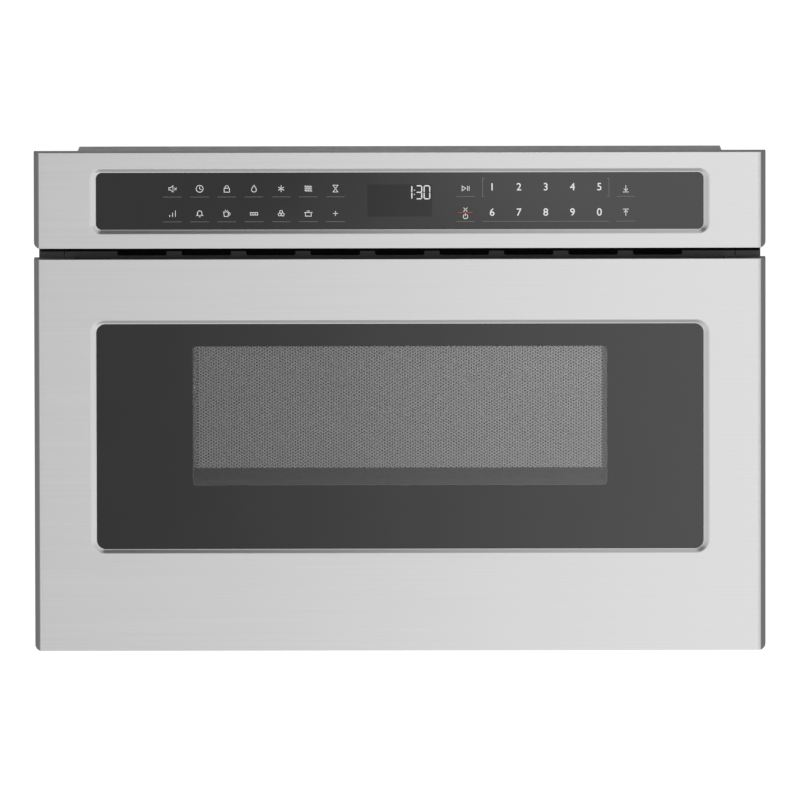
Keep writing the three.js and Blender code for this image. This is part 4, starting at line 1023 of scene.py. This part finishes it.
def build_tub_rim():
    """Rolled rim along the top edges of the tub."""
    wall_low, wall_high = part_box("right_tub_wall")
    back_low, back_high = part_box("tub_back_wall")
    side = (wall_low.x + wall_high.x) / 2
    back = (back_low.y + back_high.y) / 2
    half = (wall_high.x - wall_low.x) / 2 + RIM_MARGIN
    corners = [(-side, wall_low.y), (-side, back), (side, back), (side, wall_low.y)]
    path = [Vector((x, y, 0)) for x, y in filleted(corners, [RIM_RADIUS] * 2, RIM_STEPS)]
    turns = [pi * k / RIM_STEPS for k in range(RIM_STEPS + 1)]
    section = [(half * cos(turn), half * RIM_FLATNESS * sin(turn)) for turn in turns]
    bm = bmesh.new()
    rows = []
    for i, place in enumerate(path):
        run = (path[min(i + 1, len(path) - 1)] - path[max(i - 1, 0)]).normalized()
        rows.append([
            bm.verts.new((place.x + run.y * u, place.y - run.x * u, wall_high.z - RIM_SINK + v))
            for u, v in section
        ])
    capped(bm, rows)
    finished("tub_rim", bm, "drawer", "cavity_paint", angle=RIM_ANGLE)


def build_choke_cover():
    """Dark moulded frame round the drawer's inner face."""
    low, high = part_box("choke_panel")
    outer = box_loop(low, high, CHOKE_RADIUS, CHOKE_INSET)
    inner = box_loop(*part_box("cavity_back_wall"), OPENING_RADIUS, OPENING_INSET)
    bm = bmesh.new()
    pierced_plate(bm, [outer, inner], high.y + CHOKE_GAP, high.y + CHOKE_COVER)
    finished("choke_cover", bm, "drawer", "dark_plastic")


def build_front_cap():
    """Dark cap that closes the drawer front's top behind the skin's lip."""
    low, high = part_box("drawer_front_skin")
    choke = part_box("choke_panel")[0]
    start = low.y + LIP_DEPTH - CAP_LAP
    bend = choke.y - CAP_FLAT_END
    end = choke.y + CAP_SLOPE_END
    top = high.z - CAP_DROP
    foot = top - CAP_SHEET
    section = [(foot, start), (top, start), (top, bend)]
    section += [(top - CAP_SLOPE, end), (foot - CAP_SLOPE, end), (foot, bend)]
    bm = bmesh.new()
    half = EAR_START - CAP_INSET
    capped(bm, [[bm.verts.new((x, y, z)) for z, y in section] for x in (-half, half)])
    finished("drawer_front_cap", bm, "drawer", "dark_plastic")


def build_rail_balls():
    """Balls between the slide rails, seen at their front ends."""
    for side in ("left", "right"):
        low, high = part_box(side + "_middle_rail")
        bm = bmesh.new()
        for z in (low.z + BALL_INSET, high.z - BALL_INSET):
            for k in range(BALLS):
                place = Matrix.Translation(((low.x + high.x) / 2, low.y + BALL_PITCH * (k + 1), z))
                bmesh.ops.create_uvsphere(
                    bm, u_segments=BALL_SEGMENTS, v_segments=BALL_RINGS, radius=BALL_RADIUS, matrix=place
                )
        finished(side + "_rail_balls", bm, side + "_slide", "rail_steel", angle=BALL_ANGLE)


# --- Screws, beads and louvres on the chassis ---


def screw(bm, place, out):
    """A round-head screw with a cross slot, its head pointing along out."""
    head = bmesh.new()
    height = SCREW_RISE * SCREW_RADIUS
    turns = [2 * pi * k / SCREW_STEPS for k in range(SCREW_STEPS)]
    rows = []
    for reach, rise in SCREW_PROFILE:
        radius = SCREW_RADIUS * reach
        rows.append([
            head.verts.new((radius * cos(turn), radius * sin(turn), height * rise))
            for turn in turns
        ])
    slot = SCREW_RADIUS * CROSS_HALF
    arm = SCREW_RADIUS * CROSS_ARM
    cross = [(slot, slot), (slot, arm), (-slot, arm), (-slot, slot), (-arm, slot), (-arm, -slot)]
    cross += [(-u, -v) for u, v in cross]
    rim = [head.verts.new((u, v, height * CROSS_TOP)) for u, v in cross]
    floor = [head.verts.new((u * CROSS_TAPER, v * CROSS_TAPER, height * CROSS_FLOOR)) for u, v in cross]
    bridge(head, rim, floor)
    head.faces.new(floor)
    fill_between(head, (rim, rows[0]), (0, 0, 1))
    bridge_all(head, rows)
    mesh = mesh_of("screw", head)
    turn = Vector(out).to_track_quat("Z", "Y").to_matrix().to_4x4()
    mesh.transform(Matrix.Translation(place) @ turn)
    bm.from_mesh(mesh)
    bpy.data.meshes.remove(mesh)


def spread(low, high, count):
    """Evenly spaced values from low to high."""
    return [low + (high - low) * k / (count - 1) for k in range(count)]


def build_screws():
    low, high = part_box("right_side_cover")
    side, front, back, height = high.x, low.y, high.y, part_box("top_cover")[1].z
    inset = SCREW_INSET
    bm = bmesh.new()
    for turn in (-1, 1):
        for y in spread(front + 5 * inset, back - inset, 5):
            for z in (height - inset, inset):
                screw(bm, (turn * side, y, z), (turn, 0, 0))
        for z in spread(height * 0.3, height * 0.7, 2):
            screw(bm, (turn * side, back - inset, z), (turn, 0, 0))
    for x in spread(inset - side, side - inset, 7):
        for z in (height - 2 * inset, inset):
            screw(bm, (x, back, z), (0, 1, 0))
    for z in spread(height * 0.28, height * 0.75, 3):
        for turn in (-1, 1):
            screw(bm, (turn * (side - inset), back, z), (0, 1, 0))
    for x in spread(3 * inset - side, side - 3 * inset, 5):
        for y in (front + 2 * inset, front + 56 * inset):
            screw(bm, (x, y, height), (0, 0, 1))
    for x in spread(6 * inset - side, side - 6 * inset, 4):
        for y in spread(front + 4 * inset, back - 4 * inset, 4):
            screw(bm, (x, y, 0), (0, 0, -1))
    finished("chassis_screws", bm, "chassis", "galvanised", "zinc_screw", SCREW_ANGLE)


def bead(bm, start, end, out):
    """A long pressed rib with round ends on a sheet, from start to end."""
    along = (Vector(end) - Vector(start)).normalized()
    out = Vector(out)
    across = out.cross(along)
    rows = []
    for reach, lift in BEAD_PROFILE:
        row = []
        for centre, first in ((Vector(start), 90), (Vector(end), -90)):
            for k in range(BEAD_STEPS + 1):
                angle = radians(first + 180 * k / BEAD_STEPS)
                spoke = along * cos(angle) + across * sin(angle)
                row.append(bm.verts.new(centre + spoke * BEAD_WIDTH / 2 * reach + out * BEAD_RISE * lift))
        rows.append(row)
    bridge_all(bm, rows)
    bm.faces.new(rows[-1])


def louvre(bm, centre, out, along):
    """A pressed hood that is open along its lower side."""
    out, along = Vector(out), Vector(along)
    across = out.cross(along)
    rows = []
    for share in LOUVRE_SHARES:
        lift = LOUVRE_RISE * sin(share * pi / 2)
        reach = LOUVRE_WIDTH * (1 - share)
        row = []
        for k in range(LOUVRE_STEPS + 1):
            u = -1 + 2 * k / LOUVRE_STEPS
            taper = sqrt(max(0.0, 1 - abs(u) ** 4))
            rise = across * reach * taper + out * lift * taper
            row.append(bm.verts.new(Vector(centre) + along * u * LOUVRE_LENGTH / 2 + rise))
        rows.append(row)
    for near, far in zip(rows, rows[1:]):
        for k in range(LOUVRE_STEPS):
            bm.faces.new((near[k], near[k + 1], far[k + 1], far[k]))


def build_chassis_pressings():
    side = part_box("right_side_cover")[1].x
    back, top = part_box("top_cover")[1].yz
    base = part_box("base_plate")[0].z
    bm = bmesh.new()
    for x in spread(-0.17, 0.17, 4):
        bead(bm, (x, -0.19, top), (x, 0.19, top), (0, 0, 1))
    for turn in (-1, 1):
        for z in (0.1, 0.28):
            bead(bm, (turn * side, -0.19, z), (turn * side, 0.08, z), (turn, 0, 0))
    for z in (0.14, 0.21):
        bead(bm, (-0.24, back, z), (0.06, back, z), (0, 1, 0))
    for x in spread(-0.18, 0.18, 3):
        bead(bm, (x, -0.12, base), (x, 0.2, base), (0, 0, -1))
    finished("chassis_beads", bm, "chassis", "galvanised", angle=BEAD_ANGLE)
    bm = bmesh.new()
    for turn in (-1, 1):
        for y in (0.15, 0.2):
            for z in spread(0.06, 0.3, 12):
                louvre(bm, (turn * side, y, z), (turn, 0, 0), (0, turn, 0))
    bmesh.ops.recalc_face_normals(bm, faces=bm.faces)
    solid = modified_mesh(mesh_of("louvres", bm), ("SOLIDIFY", {"thickness": LOUVRE_SHEET, "offset": 1.0}))
    finished_mesh("side_louvres", solid, "chassis", "galvanised", angle=LOUVRE_ANGLE)


# --- Stage ---


def math_node(tree, operation, *values):
    node = tree.nodes.new("ShaderNodeMath")
    node.operation = operation
    for value, socket in zip(values, node.inputs):
        tree.links.new(value, socket)
    return node.outputs[0]


def combined(tree, operation, values):
    """All values added up, or multiplied."""
    level = values[0]
    for value in values[1:]:
        level = math_node(tree, operation, level, value)
    return level


def smooth(tree, value, start, end, low, high):
    """A soft step from low to high while the value goes from start to end."""
    return ranged(tree, value, low, high, start, end, "SMOOTHSTEP")


def build_world():
    """A pale studio, brighter in front and to the right, with a white backdrop."""
    world = bpy.data.worlds.new("studio")
    bpy.context.scene.world = world
    world.use_nodes = True
    tree = world.node_tree
    background = tree.nodes["Background"]
    place = add_node(tree, "TexCoord")
    right, away, up = add_node(tree, "SeparateXYZ", Vector=place.outputs["Generated"]).outputs
    level = combined(tree, "MULTIPLY", [
        smooth(tree, right, -0.9, 0.9, 1.0, 1.5),
        smooth(tree, away, -0.55, 0.3, 1.0, 0.0),
        smooth(tree, up, 0.1, 0.9, 1.0, 0.0),
        smooth(tree, up, -0.95, -0.6, 0.45, 1.0),
    ])
    level = combined(tree, "ADD", [
        level,
        smooth(tree, up, -0.35, -0.05, 0.42, 0.1),
        smooth(tree, up, 0.2, 0.6, 0.0, 0.3),
        smooth(tree, math_node(tree, "ABSOLUTE", right), 0.3, 0.8, 0.0, 0.1),
    ])
    seen = add_node(tree, "LightPath").outputs["Is Camera Ray"]
    shown = add_node(tree, "Mix", Factor=seen, A=level, B=BACKDROP_LEVEL)
    tree.links.new(shown.outputs["Result"], background.inputs["Strength"])
    background.inputs["Color"].default_value = (1, 1, 1, 1)


def stage_plane(name, corners, material, *hidden):
    """A plane of the stage, hidden from these kinds of ray."""
    mesh = bpy.data.meshes.new(name)
    mesh.from_pydata(corners, [], [(0, 1, 2, 3)])
    mesh.materials.append(material)
    plane = linked(name, mesh)
    for ray in hidden:
        setattr(plane, "visible_" + ray, False)


def light_card(name, corners):
    """A lit card that only reflections and light meet. Returns its tree, place and light."""
    material, tree = bare_material(name + "_light")
    light = add_node(tree, "Emission")
    place = add_node(tree, "TexCoord")
    parts = add_node(tree, "SeparateXYZ", Vector=place.outputs["Object"])
    tree.links.new(light.outputs["Emission"], tree.nodes["Material Output"].inputs["Surface"])
    stage_plane(name, corners, material, "camera", "shadow")
    return tree, parts.outputs, light.inputs["Strength"]


def build_front_card():
    """A large card in front, brighter to the right."""
    face = cad_low.y - CARD_DISTANCE
    corners = [(x, face, z) for x, z in rectangle(*CARD_SIZE)]
    tree, place, strength = light_card("front_card", corners)
    width = smooth(tree, place["Z"], 0.17, 0.25, 1.0, 2.2)
    across = math_node(tree, "MULTIPLY", place["X"], width)
    level = combined(tree, "ADD", [
        smooth(tree, across, -0.34, 0.4, 0.8, 2.1),
        smooth(tree, place["X"], -1.0, -0.3, 0.35, 0.0),
        smooth(tree, place["X"], 0.35, 1.0, 0.0, -0.9),
        smooth(tree, place["X"], 1.1, 1.7, 0.0, -0.7),
    ])
    tree.links.new(level, strength)


def build_overhead_card():
    """A card above and in front, dark on the left and brighter on the right."""
    corners = [(x, y, OVERHEAD_HEIGHT) for x, y in rectangle(*OVERHEAD_SIZE)]
    tree, place, strength = light_card("overhead_card", corners)
    tree.links.new(smooth(tree, place["X"], -0.26, 0.24, 0.0, 1.15), strength)


def build_floor():
    """A white floor that only the camera meets, clear from below."""
    material, tree = bare_material("floor_white")
    white = add_node(tree, "Emission", Strength=BACKDROP_LEVEL)
    clear = add_node(tree, "BsdfTransparent")
    side = add_node(tree, "NewGeometry")
    show_mix(tree, side.outputs["Backfacing"], white, clear)
    level = cad_low.z - FLOOR_DROP
    corners = [(x, y, level) for x, y in rectangle(*FLOOR_SIZE)]
    stage_plane("floor", corners, material, "diffuse", "glossy", "transmission", "shadow")


def build_camera():
    data = bpy.data.cameras.new("photo_camera")
    data.lens = CAMERA_LENS
    data.sensor_width = CAMERA_SENSOR
    data.clip_end = CAMERA_REACH
    camera = linked("photo_camera", data)
    aim = Vector((0, cad_low.y, (cad_low.z + cad_high.z) / 2 + CAMERA_AIM_RISE))
    turn = Matrix.Rotation(pi / 2 + CAMERA_PITCH, 4, "X") @ Matrix.Rotation(CAMERA_ROLL, 4, "Z")
    away = turn.to_3x3() @ Vector((0, 0, CAMERA_DISTANCE))
    camera.matrix_world = Matrix.Translation(aim + away) @ turn
    bpy.context.scene.camera = camera


# --- The object ---


def both(*names):
    """The left and right nodes of these names."""
    return [side + name for name in names for side in ("left_", "right_")]


# CAD nodes whose edges are rounded, by material slot
SOFTENED = {
    "galvanised": [
        "front_bulkhead", "base_plate", "back_panel", "top_cover", *both("side_cover", "rail_bracket"),
    ],
    "cavity_paint": ["choke_panel", "tub_floor", *both("tub_wall"), "tub_back_wall"],
    # The galvanised mounting flanges take black steel: painted shade for the deep gap they sit in
    "black_steel": both("mounting_flange"),
    "rail_steel": both("outer_rail", "middle_rail", "inner_rail"),
    "ceramic": ["ceramic_plate"],
    "dark_plastic": ["cord_gland", "drawer_front_frame"],
}


def soften_nodes():
    for slot, nodes in SOFTENED.items():
        for node in nodes:
            refined(node, slot)
    refined("window_tunnel", "black_steel", FINE_ROUND, "gloss_black")
    # The clear inner pane is shown dark, as painted shade for the unlit cavity behind it
    refined("inner_pane", "clear_glass", FINE_ROUND, "painted_shade_pane")


def paint_nodes():
    """Every CAD node that is still shown gets its slot's material."""
    slots = {part["node"]: part["material_slot"] for part in frame["record"]["subparts"]}
    for name, node in frame["nodes"].items():
        if not node.hide_render:
            node.data.materials.clear()
            node.data.materials.append(MATERIALS[slots[name]])


build_camera()
build_world()
build_front_card()
build_overhead_card()
build_floor()
build_skins()
build_drawer_glass()
build_screen()
build_window_trim()
build_window_reveal()
build_vent_grille()
build_panel_shade_strip()
build_key_symbols()
build_key_lines()
build_numerals()
build_display()
soften_nodes()
build_tub_rim()
build_choke_cover()
build_front_cap()
build_rail_balls()
build_screws()
build_chassis_pressings()
paint_nodes()

bpy.context.scene.view_settings.view_transform = "Standard"
